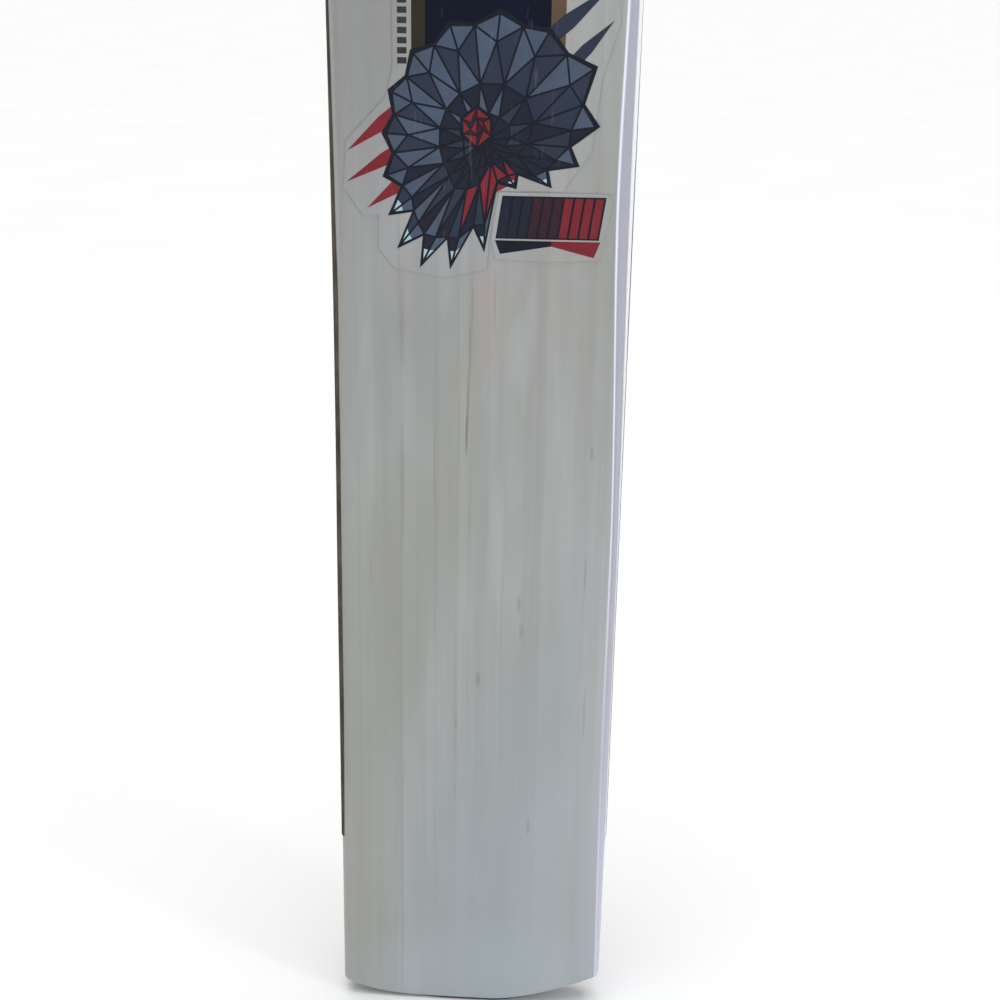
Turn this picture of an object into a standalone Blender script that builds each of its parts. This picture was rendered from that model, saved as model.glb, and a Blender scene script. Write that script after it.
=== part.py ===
"""A full-size short-handle cricket bat, standing upright on its toe.

Metres, +Z up the bat. The hitting face looks towards -Y, and +X is to the right of
someone facing it. The origin is the middle of the small flat that the toe rests on.
"""

import math

import bmesh
import bpy

# Overall lengths
BAT_LENGTH = 0.856
BLADE_TOP = 0.558
CANE_TOP = 0.8532
SPLICE_TIP = 0.420

# Fit between pieces that are glued or stretched over each other
GLUE_LINE = 0.0003

# Blade: the face line, how far it bows, and the lengthwise profiles as (height, size)
FACE_Y = -0.005
TOE_FORWARD = 0.004
BOW_HEIGHT = 0.300
FACE_CROWN = 0.0010
HALF_WIDTHS = (
    (0.000, 0.0530), (0.150, 0.0536), (0.300, 0.0539), (0.480, 0.0540), (0.500, 0.0536),
    (0.514, 0.0515), (0.526, 0.0462), (0.536, 0.0385), (0.544, 0.0300), (0.551, 0.0228),
    (0.558, 0.0180),
)
EDGE_DEPTHS = (
    (0.000, 0.0150), (0.060, 0.0195), (0.160, 0.0320), (0.250, 0.0380), (0.330, 0.0370),
    (0.430, 0.0280), (0.510, 0.0215), (0.558, 0.0200),
)
SPINE_DEPTHS = (
    (0.000, 0.0200), (0.060, 0.0315), (0.160, 0.0540), (0.235, 0.0620), (0.320, 0.0585),
    (0.430, 0.0450), (0.510, 0.0365), (0.558, 0.0340),
)
EDGE_BULGES = (
    (0.000, 0.0010), (0.100, 0.0016), (0.190, 0.0020), (0.250, 0.0034), (0.330, 0.0056),
    (0.400, 0.0046), (0.480, 0.0034), (0.558, 0.0024),
)
CORNER_RADII = (
    (0.000, 0.0018), (0.120, 0.0032), (0.180, 0.0026), (0.230, 0.0014), (0.558, 0.0012),
)
BACK_CORNER = 0.0030
BACK_BULGE = 0.0014
EDGE_MIDDLE = 0.44
RIDGE_SHARPNESS = 0.35
RIDGE_ROUNDING = 0.02
SHOULDER_START = 0.498

# How finely the blade's surface is divided, across each section and along the blade
FACE_SPANS = 6
CORNER_SPANS = 4
SIDE_SPANS = 4
RING_STEP = 0.018
SHOULDER_STEPS = 12

# Toe: the curve across it, its rounded rim and the strip glued under it
TOE_FLAT = 0.009
TOE_RISES = {-1: 0.0062, 1: 0.0132}
TOE_CURVE_POWERS = {-1: 3.6, 1: 1.6}
TOE_CURVE_HEIGHT = 0.070
TOE_FADE_POWER = 1.5
RIM_RADIUS = 0.0010
RIM_STEPS = 3
GUARD_THICKNESS = 0.0008
GUARD_END_THICKNESS = 0.0004
GUARD_HALF_WIDTH = 0.0480
GUARD_INSET = 0.0010
GUARD_END_INSET = 0.0036
GUARD_COLUMNS = 24
TOE_BOTTOM = GUARD_THICKNESS + GLUE_LINE

# Handle: cane laminations with rubber springs between them, glued into a V in the blade
TONGUE_TIP_HALF_WIDTH = 0.0015
TONGUE_STEPS = 8
CUTTER_Y = (-0.05, 0.10)
CUTTER_TOP = BLADE_TOP + 0.02
HANDLE_HALF_WIDTH = 0.0140
HANDLE_Y = 0.0120
ROUND_START = 0.5600
ROUND_END = 0.5870
ROUND_STEPS = 6
HANDLE_STEPS = 8
HANDLE_HALF_DEPTHS = ((0.558, 0.0165), (0.620, 0.0150), (0.740, 0.0140), (0.853, 0.0142))
SPRING_THICKNESS = 0.0018
SPRING_OFFSETS = (-0.0074, 0.0, 0.0074)
SPRING_NAMES = ("front", "middle", "rear")
CANE_MIDDLE_HALF = 0.0048
LAYER_NAMES = ("front", "inner_front", "inner_rear", "rear")
COLUMN_NAMES = ("left", "centre", "right")
RING_POINTS = 32

# Binding and grip
TWINE_TOP = 0.8520
TWINE_THICKNESS = 0.0010
TWINE_STEPS = 10
GRIP_BOTTOM = 0.5735
GRIP_WALLS = (
    (0.5735, 0.0026), (0.580, 0.0020), (0.640, 0.0020), (0.800, 0.0020), (0.838, 0.0030),
    (0.850, 0.0034),
)
GRIP_LIP_RADIUS = 0.0110
GRIP_ROLL = 0.0024
GRIP_STEPS = 14
ROLL_STEPS = 4

# Stickers: film thickness, the air under it, and where each one lies
FILM = 0.00020
FILM_GAP = 0.00015
CURVED_FILM_GAP = 0.00030
EDGE_STICKER_Z = (0.074, 0.470)
LEFT_STICKER_FRONTS = (
    (0.074, 0.0019), (0.150, 0.0014), (0.240, 0.0012), (0.290, 0.0030), (0.330, 0.0060),
    (0.470, 0.0056),
)
LEFT_STICKER_BACK = 0.74
RIGHT_STICKER_FRONTS = (
    (0.074, 0.0044), (0.160, 0.0067), (0.250, 0.0080), (0.330, 0.0078), (0.430, 0.0059),
    (0.470, 0.0052),
)
RIGHT_STICKER_BACK = 0.92
EDGE_STICKER_ROWS = 24
EDGE_STICKER_COLUMNS = 12
FACE_STICKER = (
    (-0.0300, 0.5190), (-0.0300, 0.3680), (-0.0465, 0.3520), (-0.0465, 0.3330),
    (-0.0400, 0.3250), (-0.0345, 0.3270), (-0.0345, 0.3050), (0.0030, 0.3050),
    (0.0040, 0.3380), (0.0270, 0.3380), (0.0400, 0.3560), (0.0410, 0.3760),
    (0.0465, 0.3920), (0.0465, 0.4060), (0.0305, 0.4060), (0.0305, 0.5190),
)
LOWER_STICKER = (
    (0.0060, 0.3115), (0.0420, 0.3115), (0.0465, 0.3340), (0.0450, 0.3365), (0.0070, 0.3365),
    (0.0045, 0.3180),
)
BACK_STICKER_HALF_WIDTH = 0.0260
BACK_STICKER_Z = (0.150, 0.400)
BACK_STICKER_CUT = 0.0060

# Edges sharper than this stay sharp in the shading
SHARP_ANGLE = math.radians(40)


def smooth_value(stations, height):
    """The size at this height on a smooth curve through (height, size) stations."""
    if height <= stations[0][0]:
        return stations[0][1]
    if height >= stations[-1][0]:
        return stations[-1][1]
    slopes = []
    for index in range(len(stations)):
        before = stations[max(index - 1, 0)]
        after = stations[min(index + 1, len(stations) - 1)]
        slopes.append((after[1] - before[1]) / (after[0] - before[0]))
    index = max(i for i, station in enumerate(stations[:-1]) if station[0] <= height)
    (z0, v0), (z1, v1) = stations[index], stations[index + 1]
    span = z1 - z0
    t = (height - z0) / span
    rise = 3 * t**2 - 2 * t**3
    leave = t**3 - 2 * t**2 + t
    arrive = t**3 - t**2
    return v0 + (v1 - v0) * rise + span * (slopes[index] * leave + slopes[index + 1] * arrive)


def blend(a, b, t):
    return a + (b - a) * t


def smooth_step(t):
    t = min(max(t, 0.0), 1.0)
    return t * t * (3 - 2 * t)


def bezier(start, corner, end, t):
    """A point on the curve from start to end that leaves and arrives towards corner."""
    return tuple(
        (1 - t) ** 2 * s + 2 * t * (1 - t) * c + t**2 * e
        for s, c, e in zip(start, corner, end)
    )


def face_y(height):
    """The middle of the hitting face, which curves forward towards the toe."""
    down = 1 - min(height, BOW_HEIGHT) / BOW_HEIGHT
    return FACE_Y - TOE_FORWARD * down**2


def face_depth(x, half_width):
    """How far the crowned face falls back at x."""
    return FACE_CROWN * (x / half_width) ** 2


def back_depth(x, height):
    """Depth of the back behind the face line: a rounded ridge with hollowed flanks."""
    half_width = smooth_value(HALF_WIDTHS, height)
    edge = smooth_value(EDGE_DEPTHS, height)
    spine = smooth_value(SPINE_DEPTHS, height)
    across = min(abs(x) / half_width, 1.0)
    bell = 0.5 + 0.5 * math.cos(math.pi * across)
    roof = 1 - math.sqrt(across**2 + RIDGE_ROUNDING) + math.sqrt(RIDGE_ROUNDING) * (1 - across)
    return edge + (spine - edge) * blend(bell, max(roof, 0.0), RIDGE_SHARPNESS)


def side_x(depth, half_width, edge, bulge):
    """Half-width of the bulging edge at this depth behind the face."""
    middle = EDGE_MIDDLE * edge
    if depth < middle:
        return half_width - bulge * ((middle - depth) / middle) ** 2
    return half_width - BACK_BULGE * ((depth - middle) / (edge - middle)) ** 2


def side_points(start_depth, half_width, edge, bulge):
    """Points down the bulging edge, from just after this depth to the edge's middle."""
    points = []
    for i in range(1, SIDE_SPANS + 1):
        depth = blend(start_depth, EDGE_MIDDLE * edge, i / SIDE_SPANS)
        points.append((side_x(depth, half_width, edge, bulge), depth))
    return points


def half_section(height, inset=0.0):
    """The right half of the blade's outline as two equal lists of (x, depth).

    The first runs from the middle of the face to the middle of the edge, and the
    second from the middle of the back to the middle of the edge.
    """
    half_width = smooth_value(HALF_WIDTHS, height) - inset
    edge = smooth_value(EDGE_DEPTHS, height)
    bulge = smooth_value(EDGE_BULGES, height)
    radius = smooth_value(CORNER_RADII, height)
    turns = [i / CORNER_SPANS for i in range(CORNER_SPANS + 1)]

    corner_x = side_x(0.0, half_width, edge, bulge)
    face_end = (corner_x - radius, face_depth(corner_x - radius, half_width) + inset)
    side_depth = face_end[1] + radius
    side_start = (side_x(side_depth, half_width, edge, bulge), side_depth)
    front_x = [face_end[0] * i / FACE_SPANS for i in range(FACE_SPANS)]
    front = [(x, face_depth(x, half_width) + inset) for x in front_x]
    front += [bezier(face_end, (corner_x, face_end[1]), side_start, t) for t in turns]
    front += side_points(side_depth, half_width, edge, bulge)

    back_edge_x = half_width - BACK_BULGE
    back_end_x = back_edge_x - BACK_CORNER
    back_end = (back_end_x, back_depth(back_end_x, height) - inset)
    side_end = (side_x(edge - BACK_CORNER, half_width, edge, bulge), edge - BACK_CORNER)
    back_x = [back_end_x * i / FACE_SPANS for i in range(FACE_SPANS)]
    back = [(x, back_depth(x, height) - inset) for x in back_x]
    back += [bezier(back_end, (back_edge_x, edge - inset), side_end, t) for t in turns]
    back += side_points(edge - BACK_CORNER, half_width, edge, bulge)
    return front, back


def full_section(height, inset=0.0):
    """The whole outline, from the left edge along the face and back along the back."""
    front, back = half_section(height, inset)
    ring = [(-x, depth) for x, depth in reversed(front)]
    ring += front[1:]
    ring += list(reversed(back))[1:]
    ring += [(-x, depth) for x, depth in back[1:-1]]
    return ring


def toe_lift(x):
    """How much higher than its middle the toe is at x: a flat, then a curve each way."""
    side = -1 if x < 0 else 1
    out = max(abs(x) - TOE_FLAT, 0.0) / (HALF_WIDTHS[0][1] - TOE_FLAT)
    return TOE_RISES[side] * out ** TOE_CURVE_POWERS[side]


def blade_point(x, depth, height):
    """World position of a section point, with the toe's curve fading out above it."""
    fade = max(1 - (height - TOE_BOTTOM) / TOE_CURVE_HEIGHT, 0.0) ** TOE_FADE_POWER
    return (x, face_y(height) + depth, height + toe_lift(x) * fade)


def blade_heights():
    """Heights of the blade's sections, closer together over the shoulders."""
    first = TOE_BOTTOM + RIM_RADIUS
    count = round((SHOULDER_START - first) / RING_STEP)
    heights = [blend(first, SHOULDER_START, i / count) for i in range(count + 1)]
    for i in range(1, SHOULDER_STEPS + 1):
        heights.append(blend(SHOULDER_START, BLADE_TOP, i / SHOULDER_STEPS))
    return heights


def new_object(name, bm, material):
    """Turns a bmesh into a smooth-shaded object with its faces pointing out."""
    bmesh.ops.recalc_face_normals(bm, faces=bm.faces)
    mesh = bpy.data.meshes.new(name)
    bm.to_mesh(mesh)
    bm.free()
    mesh.shade_smooth()
    mesh.set_sharp_from_angle(angle=SHARP_ANGLE)
    mesh.materials.append(material)
    obj = bpy.data.objects.new(name, mesh)
    bpy.context.scene.collection.objects.link(obj)
    return obj


def bridge_rings(bm, rings):
    """Adds the points of each ring and the faces between neighbouring rings."""
    rows = [[bm.verts.new(point) for point in ring] for ring in rings]
    count = len(rows[0])
    for lower, upper in zip(rows, rows[1:]):
        for i in range(count):
            j = (i + 1) % count
            bm.faces.new((lower[i], lower[j], upper[j], upper[i]))
    return rows


def ladder_cap(bm, row):
    """Closes a ring whose front and back halves match point for point."""
    half = len(row) // 2
    for i in range(half):
        corners = [row[i], row[i + 1], row[(-i - 1) % len(row)], row[-i % len(row)]]
        unique = list(dict.fromkeys(corners))
        bm.faces.new(unique)


def make_material(name, colour, roughness, metallic=0.0):
    """A plain Principled BSDF finish for one kind of piece."""
    material = bpy.data.materials.new(name)
    material.use_nodes = True
    shader = material.node_tree.nodes["Principled BSDF"]
    shader.inputs["Base Color"].default_value = (*colour, 1.0)
    shader.inputs["Roughness"].default_value = roughness
    shader.inputs["Metallic"].default_value = metallic
    material.diffuse_color = (*colour, 1.0)
    return material


def splice_half_width(height):
    """Half-width of the handle's V tongue, which is widest at the shoulders."""
    up = (height - SPLICE_TIP) / (BLADE_TOP - SPLICE_TIP)
    return blend(TONGUE_TIP_HALF_WIDTH, HANDLE_HALF_WIDTH, min(up, 1.0))


def splice_cutter():
    """A V-shaped block that cuts the splice right through the blade."""
    tip = TONGUE_TIP_HALF_WIDTH + GLUE_LINE
    side = HANDLE_HALF_WIDTH + GLUE_LINE
    bottom = SPLICE_TIP - GLUE_LINE
    outline = [
        (-tip, bottom), (tip, bottom), (side, BLADE_TOP),
        (side, CUTTER_TOP), (-side, CUTTER_TOP), (-side, BLADE_TOP),
    ]
    bm = bmesh.new()
    rings = [[(x, y, z) for x, z in outline] for y in CUTTER_Y]
    for row in bridge_rings(bm, rings):
        bm.faces.new(row)
    cutter = new_object("splice_cutter", bm, None)
    cutter.hide_render = True
    cutter.display_type = "WIRE"
    return cutter


def make_blade(willow):
    """The willow blade, with the splice cut out of its upper end."""
    rings = []
    for step in range(RIM_STEPS):
        angle = math.radians(90 * step / RIM_STEPS)
        inset = RIM_RADIUS * (1 - math.sin(angle))
        height = TOE_BOTTOM + RIM_RADIUS * (1 - math.cos(angle))
        rings.append([blade_point(x, depth, height) for x, depth in full_section(height, inset)])
    for height in blade_heights():
        rings.append([blade_point(x, depth, height) for x, depth in full_section(height)])
    bm = bmesh.new()
    rows = bridge_rings(bm, rings)
    ladder_cap(bm, rows[0])
    ladder_cap(bm, rows[-1])
    blade = new_object("blade", bm, willow)
    cut = blade.modifiers.new("splice", "BOOLEAN")
    cut.operation = "DIFFERENCE"
    cut.object = splice_cutter()
    return blade


def make_toe_guard(rubber):
    """A strip under the toe, thickest in the middle, where the bat rests on it."""
    rings = []
    for i in range(GUARD_COLUMNS + 1):
        x = blend(-GUARD_HALF_WIDTH, GUARD_HALF_WIDTH, i / GUARD_COLUMNS)
        out = max(abs(x) - TOE_FLAT, 0.0) / (GUARD_HALF_WIDTH - TOE_FLAT)
        thickness = blend(GUARD_THICKNESS, GUARD_END_THICKNESS, out**2)
        inset = blend(GUARD_INSET, GUARD_END_INSET, out)
        front = face_y(0.0) + face_depth(x, HALF_WIDTHS[0][1]) + inset
        rear = face_y(0.0) + back_depth(x, 0.0) - 2 * RIM_RADIUS
        top = GUARD_THICKNESS + toe_lift(x)
        bottom = top - thickness
        rings.append([(x, front, bottom), (x, rear, bottom), (x, rear, top), (x, front, top)])
    bm = bmesh.new()
    rows = bridge_rings(bm, rings)
    bm.faces.new(rows[0])
    bm.faces.new(rows[-1])
    return new_object("toe_guard", bm, rubber)


def oval_ring(height, grow=0.0):
    """The handle's oval at this height, counter-clockwise from its left side."""
    half_x = HANDLE_HALF_WIDTH + grow
    half_y = smooth_value(HANDLE_HALF_DEPTHS, height) + grow
    ring = []
    for i in range(RING_POINTS):
        angle = math.pi + 2 * math.pi * i / RING_POINTS
        ring.append((half_x * math.cos(angle), HANDLE_Y + half_y * math.sin(angle), height))
    return ring


def clipped_wave(wave):
    """Turns a sine or cosine into one that stays at its end values for a quarter turn."""
    return min(max(wave * math.sqrt(2), -1.0), 1.0)


def tongue_ring(height):
    """The V tongue's four-sided section, flush with the blade's face and back."""
    half_x = splice_half_width(height)
    half_width = smooth_value(HALF_WIDTHS, height)
    ring = []
    for i in range(RING_POINTS):
        angle = math.pi + 2 * math.pi * i / RING_POINTS
        x = half_x * clipped_wave(math.cos(angle))
        front = face_y(height) + face_depth(x, half_width)
        rear = face_y(height) + back_depth(x, height)
        ring.append((x, blend(front, rear, 0.5 + 0.5 * clipped_wave(math.sin(angle))), height))
    return ring


def handle_ring(height):
    """Section of the whole handle: tongue below the shoulders, oval above them."""
    if height <= ROUND_START:
        return tongue_ring(height)
    roundness = smooth_step((height - ROUND_START) / (ROUND_END - ROUND_START))
    pairs = zip(tongue_ring(min(height, BLADE_TOP)), oval_ring(height))
    return [(blend(t[0], o[0], roundness), blend(t[1], o[1], roundness), height) for t, o in pairs]


ROUND_HEIGHTS = [blend(ROUND_START, ROUND_END, i / ROUND_STEPS) for i in range(ROUND_STEPS + 1)]


def handle_heights():
    """Heights of the handle's sections, closer together where it turns round."""
    heights = [blend(SPLICE_TIP, ROUND_START, i / TONGUE_STEPS) for i in range(TONGUE_STEPS)]
    heights += ROUND_HEIGHTS
    heights += [blend(ROUND_END, CANE_TOP, i / HANDLE_STEPS) for i in range(1, HANDLE_STEPS + 1)]
    return heights


def keep_slab(bm, axis, low, high):
    """Trims a closed mesh to low..high along X (axis 0) or Y (axis 1)."""
    for limit, sign in ((low, -1), (high, 1)):
        if limit is None:
            continue
        point = [0.0, 0.0, 0.0]
        normal = [0.0, 0.0, 0.0]
        point[axis] = limit
        normal[axis] = sign
        geometry = bm.verts[:] + bm.edges[:] + bm.faces[:]
        cut = bmesh.ops.bisect_plane(
            bm, geom=geometry, plane_co=point, plane_no=normal, clear_outer=True
        )
        rim = [item for item in cut["geom_cut"] if isinstance(item, bmesh.types.BMEdge)]
        bmesh.ops.contextual_create(bm, geom=rim)


def handle_strip(name, material, x_range, y_range):
    """One lamination: the part of the handle inside these X and Y limits."""
    bm = bmesh.new()
    rows = bridge_rings(bm, [handle_ring(height) for height in handle_heights()])
    bm.faces.new(rows[0])
    bm.faces.new(rows[-1])
    keep_slab(bm, 1, *y_range)
    keep_slab(bm, 0, *x_range)
    return new_object(name, bm, material)


def make_handle(cane, rubber):
    """Twelve cane strips in four layers, with a rubber spring between the layers."""
    half = SPRING_THICKNESS / 2
    springs = [HANDLE_Y + offset for offset in SPRING_OFFSETS]
    for name, y in zip(SPRING_NAMES, springs):
        handle_strip(f"rubber_spring_{name}", rubber, (None, None), (y - half, y + half))
    edge = half + GLUE_LINE
    starts = [None] + [y + edge for y in springs]
    ends = [y - edge for y in springs] + [None]
    outer = CANE_MIDDLE_HALF + GLUE_LINE
    columns = ((None, -outer), (-CANE_MIDDLE_HALF, CANE_MIDDLE_HALF), (outer, None))
    for layer, low, high in zip(LAYER_NAMES, starts, ends):
        for column, x_range in zip(COLUMN_NAMES, columns):
            handle_strip(f"cane_{layer}_{column}", cane, x_range, (low, high))


def sleeve(name, rings, material):
    """A tube whose rings run up the outside and back down the inside."""
    bm = bmesh.new()
    bridge_rings(bm, rings + rings[:1])
    bmesh.ops.remove_doubles(bm, verts=bm.verts, dist=0.000001)
    return new_object(name, bm, material)


def grown_ring(height, grow):
    """The handle's section at this height, moved out by grow."""
    ring = handle_ring(height)
    centre_y = sum(point[1] for point in ring) / len(ring)
    grown = []
    for x, y, z in ring:
        out = math.hypot(x, y - centre_y)
        scale = (out + grow) / out
        grown.append((x * scale, centre_y + (y - centre_y) * scale, z))
    return grown


def make_twine(twine):
    """The waxed thread wound over the cane, as one thin sleeve."""
    heights = list(ROUND_HEIGHTS)
    heights += [blend(ROUND_END, TWINE_TOP, i / TWINE_STEPS) for i in range(1, TWINE_STEPS + 1)]
    outside = [grown_ring(height, GLUE_LINE + TWINE_THICKNESS) for height in heights]
    inside = [grown_ring(height, GLUE_LINE) for height in reversed(heights)]
    return sleeve("handle_twine", outside + inside, twine)


def make_grip(grip_rubber):
    """The rubber grip: a stretched sleeve whose top rolls in over the cane's end."""
    skin = GLUE_LINE * 2 + TWINE_THICKNESS
    rolled = BAT_LENGTH - GRIP_ROLL
    heights = [height for height in ROUND_HEIGHTS if height >= GRIP_BOTTOM]
    heights += [blend(ROUND_END, rolled, i / GRIP_STEPS) for i in range(1, GRIP_STEPS + 1)]
    outside = [grown_ring(height, skin + smooth_value(GRIP_WALLS, height)) for height in heights]
    top_reach = HANDLE_HALF_WIDTH + skin + smooth_value(GRIP_WALLS, rolled)
    for step in range(1, ROLL_STEPS + 1):
        angle = math.radians(90 * step / ROLL_STEPS)
        grow = top_reach - HANDLE_HALF_WIDTH - GRIP_ROLL * (1 - math.cos(angle))
        ring = grown_ring(CANE_TOP, grow)
        height = rolled + GRIP_ROLL * math.sin(angle)
        outside.append([(x, y, height) for x, y, _ in ring])
    lip = grown_ring(CANE_TOP, GRIP_LIP_RADIUS - HANDLE_HALF_WIDTH)
    inside = [[(x, y, BAT_LENGTH) for x, y, _ in lip]]
    inside.append([(x, y, CANE_TOP + GLUE_LINE) for x, y, _ in lip])
    inner_top = grown_ring(CANE_TOP, skin)
    inside.append([(x, y, CANE_TOP + GLUE_LINE) for x, y, _ in inner_top])
    inside += [grown_ring(height, skin) for height in reversed(heights[:-1])]
    return sleeve("grip", outside + inside, grip_rubber)


def film_patch(name, outline, material, surface_y, gap, facing, columns, rows):
    """A sticker cut to an (x, z) outline and laid on the blade's face or back.

    surface_y gives the wood's Y at (x, z), and facing is -1 on the face, 1 on the back.
    """
    bm = bmesh.new()
    bm.faces.new([bm.verts.new((x, 0.0, z)) for x, z in outline])
    low_x, high_x = min(x for x, _ in outline), max(x for x, _ in outline)
    low_z, high_z = min(z for _, z in outline), max(z for _, z in outline)
    cuts = [((blend(low_x, high_x, i / columns), 0, 0), (1, 0, 0)) for i in range(1, columns)]
    cuts += [((0, 0, blend(low_z, high_z, i / rows)), (0, 0, 1)) for i in range(1, rows)]
    for point, normal in cuts:
        geometry = bm.verts[:] + bm.edges[:] + bm.faces[:]
        bmesh.ops.bisect_plane(bm, geom=geometry, plane_co=point, plane_no=normal)
    grown = bmesh.ops.extrude_face_region(bm, geom=bm.faces[:])
    outer = {item for item in grown["geom"] if isinstance(item, bmesh.types.BMVert)}
    for vert in bm.verts:
        x, _, z = vert.co
        lift = gap + (FILM if vert in outer else 0.0)
        vert.co = (x, surface_y(x, z) + facing * lift, z)
    return new_object(name, bm, material)


def face_surface_y(x, z):
    return face_y(z) + face_depth(x, smooth_value(HALF_WIDTHS, z))


def back_surface_y(x, z):
    return face_y(z) + back_depth(x, z)


def cut_rectangle(half_width, low_z, high_z, cut):
    """A rectangular outline about x = 0 with its corners cut off."""
    return [
        (cut - half_width, low_z), (half_width - cut, low_z), (half_width, low_z + cut),
        (half_width, high_z - cut), (half_width - cut, high_z), (cut - half_width, high_z),
        (-half_width, high_z - cut), (-half_width, low_z + cut),
    ]


def edge_surface_x(depth, height):
    """Half-width of the blade at this depth, on the rounded corner or on the edge behind it."""
    half_width = smooth_value(HALF_WIDTHS, height)
    edge = smooth_value(EDGE_DEPTHS, height)
    bulge = smooth_value(EDGE_BULGES, height)
    radius = smooth_value(CORNER_RADII, height)
    corner_x = side_x(0.0, half_width, edge, bulge)
    face_end_x = corner_x - radius
    face_end_depth = face_depth(face_end_x, half_width)
    side_depth = face_end_depth + radius
    if depth >= side_depth:
        return side_x(depth, half_width, edge, bulge)
    turn = math.sqrt(max(depth - face_end_depth, 0.0) / radius)
    side_start_x = side_x(side_depth, half_width, edge, bulge)
    return bezier((face_end_x,), (corner_x,), (side_start_x,), turn)[0]


def make_edge_sticker(name, film, side, fronts, back):
    """A strip along one edge, from these depths to this fraction of the edge's thickness."""
    rings = []
    for i in range(EDGE_STICKER_ROWS + 1):
        height = blend(*EDGE_STICKER_Z, i / EDGE_STICKER_ROWS)
        front = smooth_value(fronts, height)
        rear = smooth_value(EDGE_DEPTHS, height) * back
        inner, outer = [], []
        for j in range(EDGE_STICKER_COLUMNS + 1):
            depth = blend(front, rear, (j / EDGE_STICKER_COLUMNS) ** 2)
            x = edge_surface_x(depth, height) + CURVED_FILM_GAP
            inner.append(blade_point(side * x, depth, height))
            outer.append(blade_point(side * (x + FILM), depth, height))
        rings.append(inner + outer[::-1])
    bm = bmesh.new()
    rows = bridge_rings(bm, rings)
    ladder_cap(bm, rows[0][::-1])
    ladder_cap(bm, rows[-1][::-1])
    return new_object(name, bm, film)


def make_stickers(printed, edge_film):
    """The films on the face, the back and the two edges."""
    on_face = (printed, face_surface_y, FILM_GAP, -1)
    film_patch("face_sticker", FACE_STICKER, *on_face, columns=10, rows=14)
    film_patch("lower_sticker", LOWER_STICKER, *on_face, columns=5, rows=2)
    back = cut_rectangle(BACK_STICKER_HALF_WIDTH, *BACK_STICKER_Z, BACK_STICKER_CUT)
    on_back = (printed, back_surface_y, CURVED_FILM_GAP, 1)
    film_patch("back_sticker", back, *on_back, columns=12, rows=20)
    left = (-1, LEFT_STICKER_FRONTS, LEFT_STICKER_BACK)
    right = (1, RIGHT_STICKER_FRONTS, RIGHT_STICKER_BACK)
    make_edge_sticker("edge_sticker_left", edge_film, *left)
    make_edge_sticker("edge_sticker_right", edge_film, *right)


def main():
    for obj in list(bpy.data.objects):
        bpy.data.objects.remove(obj)
    willow = make_material("willow", (0.62, 0.55, 0.44), 0.50)
    cane = make_material("cane", (0.70, 0.50, 0.28), 0.55)
    spring_rubber = make_material("spring_rubber", (0.05, 0.045, 0.04), 0.80)
    guard_rubber = make_material("guard_rubber", (0.12, 0.11, 0.10), 0.60)
    grip_rubber = make_material("grip_rubber", (0.025, 0.028, 0.035), 0.70)
    twine = make_material("waxed_twine", (0.75, 0.68, 0.52), 0.65)
    printed = make_material("printed_film", (0.010, 0.013, 0.035), 0.30)
    edge_film = make_material("edge_film", (0.05, 0.035, 0.02), 0.35)
    make_blade(willow)
    make_toe_guard(guard_rubber)
    make_handle(cane, spring_rubber)
    make_twine(twine)
    make_grip(grip_rubber)
    make_stickers(printed, edge_film)


main()
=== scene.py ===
"""Looks for the cricket bat: fine meshes, inks, materials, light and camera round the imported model.

Metres, in the bat's own frame: +Z up the bat, the hitting face towards -Y, +X to its viewer's right.
The blade's and the handle's sizes repeat the CAD part's, so each fine mesh lies on its solid.
"""

import math

import bmesh
import bpy
from mathutils import Matrix, Vector

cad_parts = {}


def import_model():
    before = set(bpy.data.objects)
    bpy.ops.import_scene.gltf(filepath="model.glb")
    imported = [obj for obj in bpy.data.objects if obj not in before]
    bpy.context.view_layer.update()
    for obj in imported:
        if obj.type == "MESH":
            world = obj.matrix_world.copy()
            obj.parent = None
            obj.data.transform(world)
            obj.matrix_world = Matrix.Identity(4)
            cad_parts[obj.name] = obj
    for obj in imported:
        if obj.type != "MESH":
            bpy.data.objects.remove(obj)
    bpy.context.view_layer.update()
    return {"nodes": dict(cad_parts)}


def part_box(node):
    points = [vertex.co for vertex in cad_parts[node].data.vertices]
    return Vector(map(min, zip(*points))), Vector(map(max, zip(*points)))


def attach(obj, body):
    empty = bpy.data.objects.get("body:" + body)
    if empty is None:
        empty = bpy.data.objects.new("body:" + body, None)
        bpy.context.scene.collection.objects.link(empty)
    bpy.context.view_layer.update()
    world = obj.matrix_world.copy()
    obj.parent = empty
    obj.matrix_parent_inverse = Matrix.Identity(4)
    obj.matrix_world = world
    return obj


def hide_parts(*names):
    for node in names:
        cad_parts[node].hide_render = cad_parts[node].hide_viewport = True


# Overall lengths
BAT_LENGTH = 0.856
BLADE_TOP = 0.558
CANE_TOP = 0.8532
SPLICE_TIP = 0.42
GLUE_LINE = 0.0003

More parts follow.
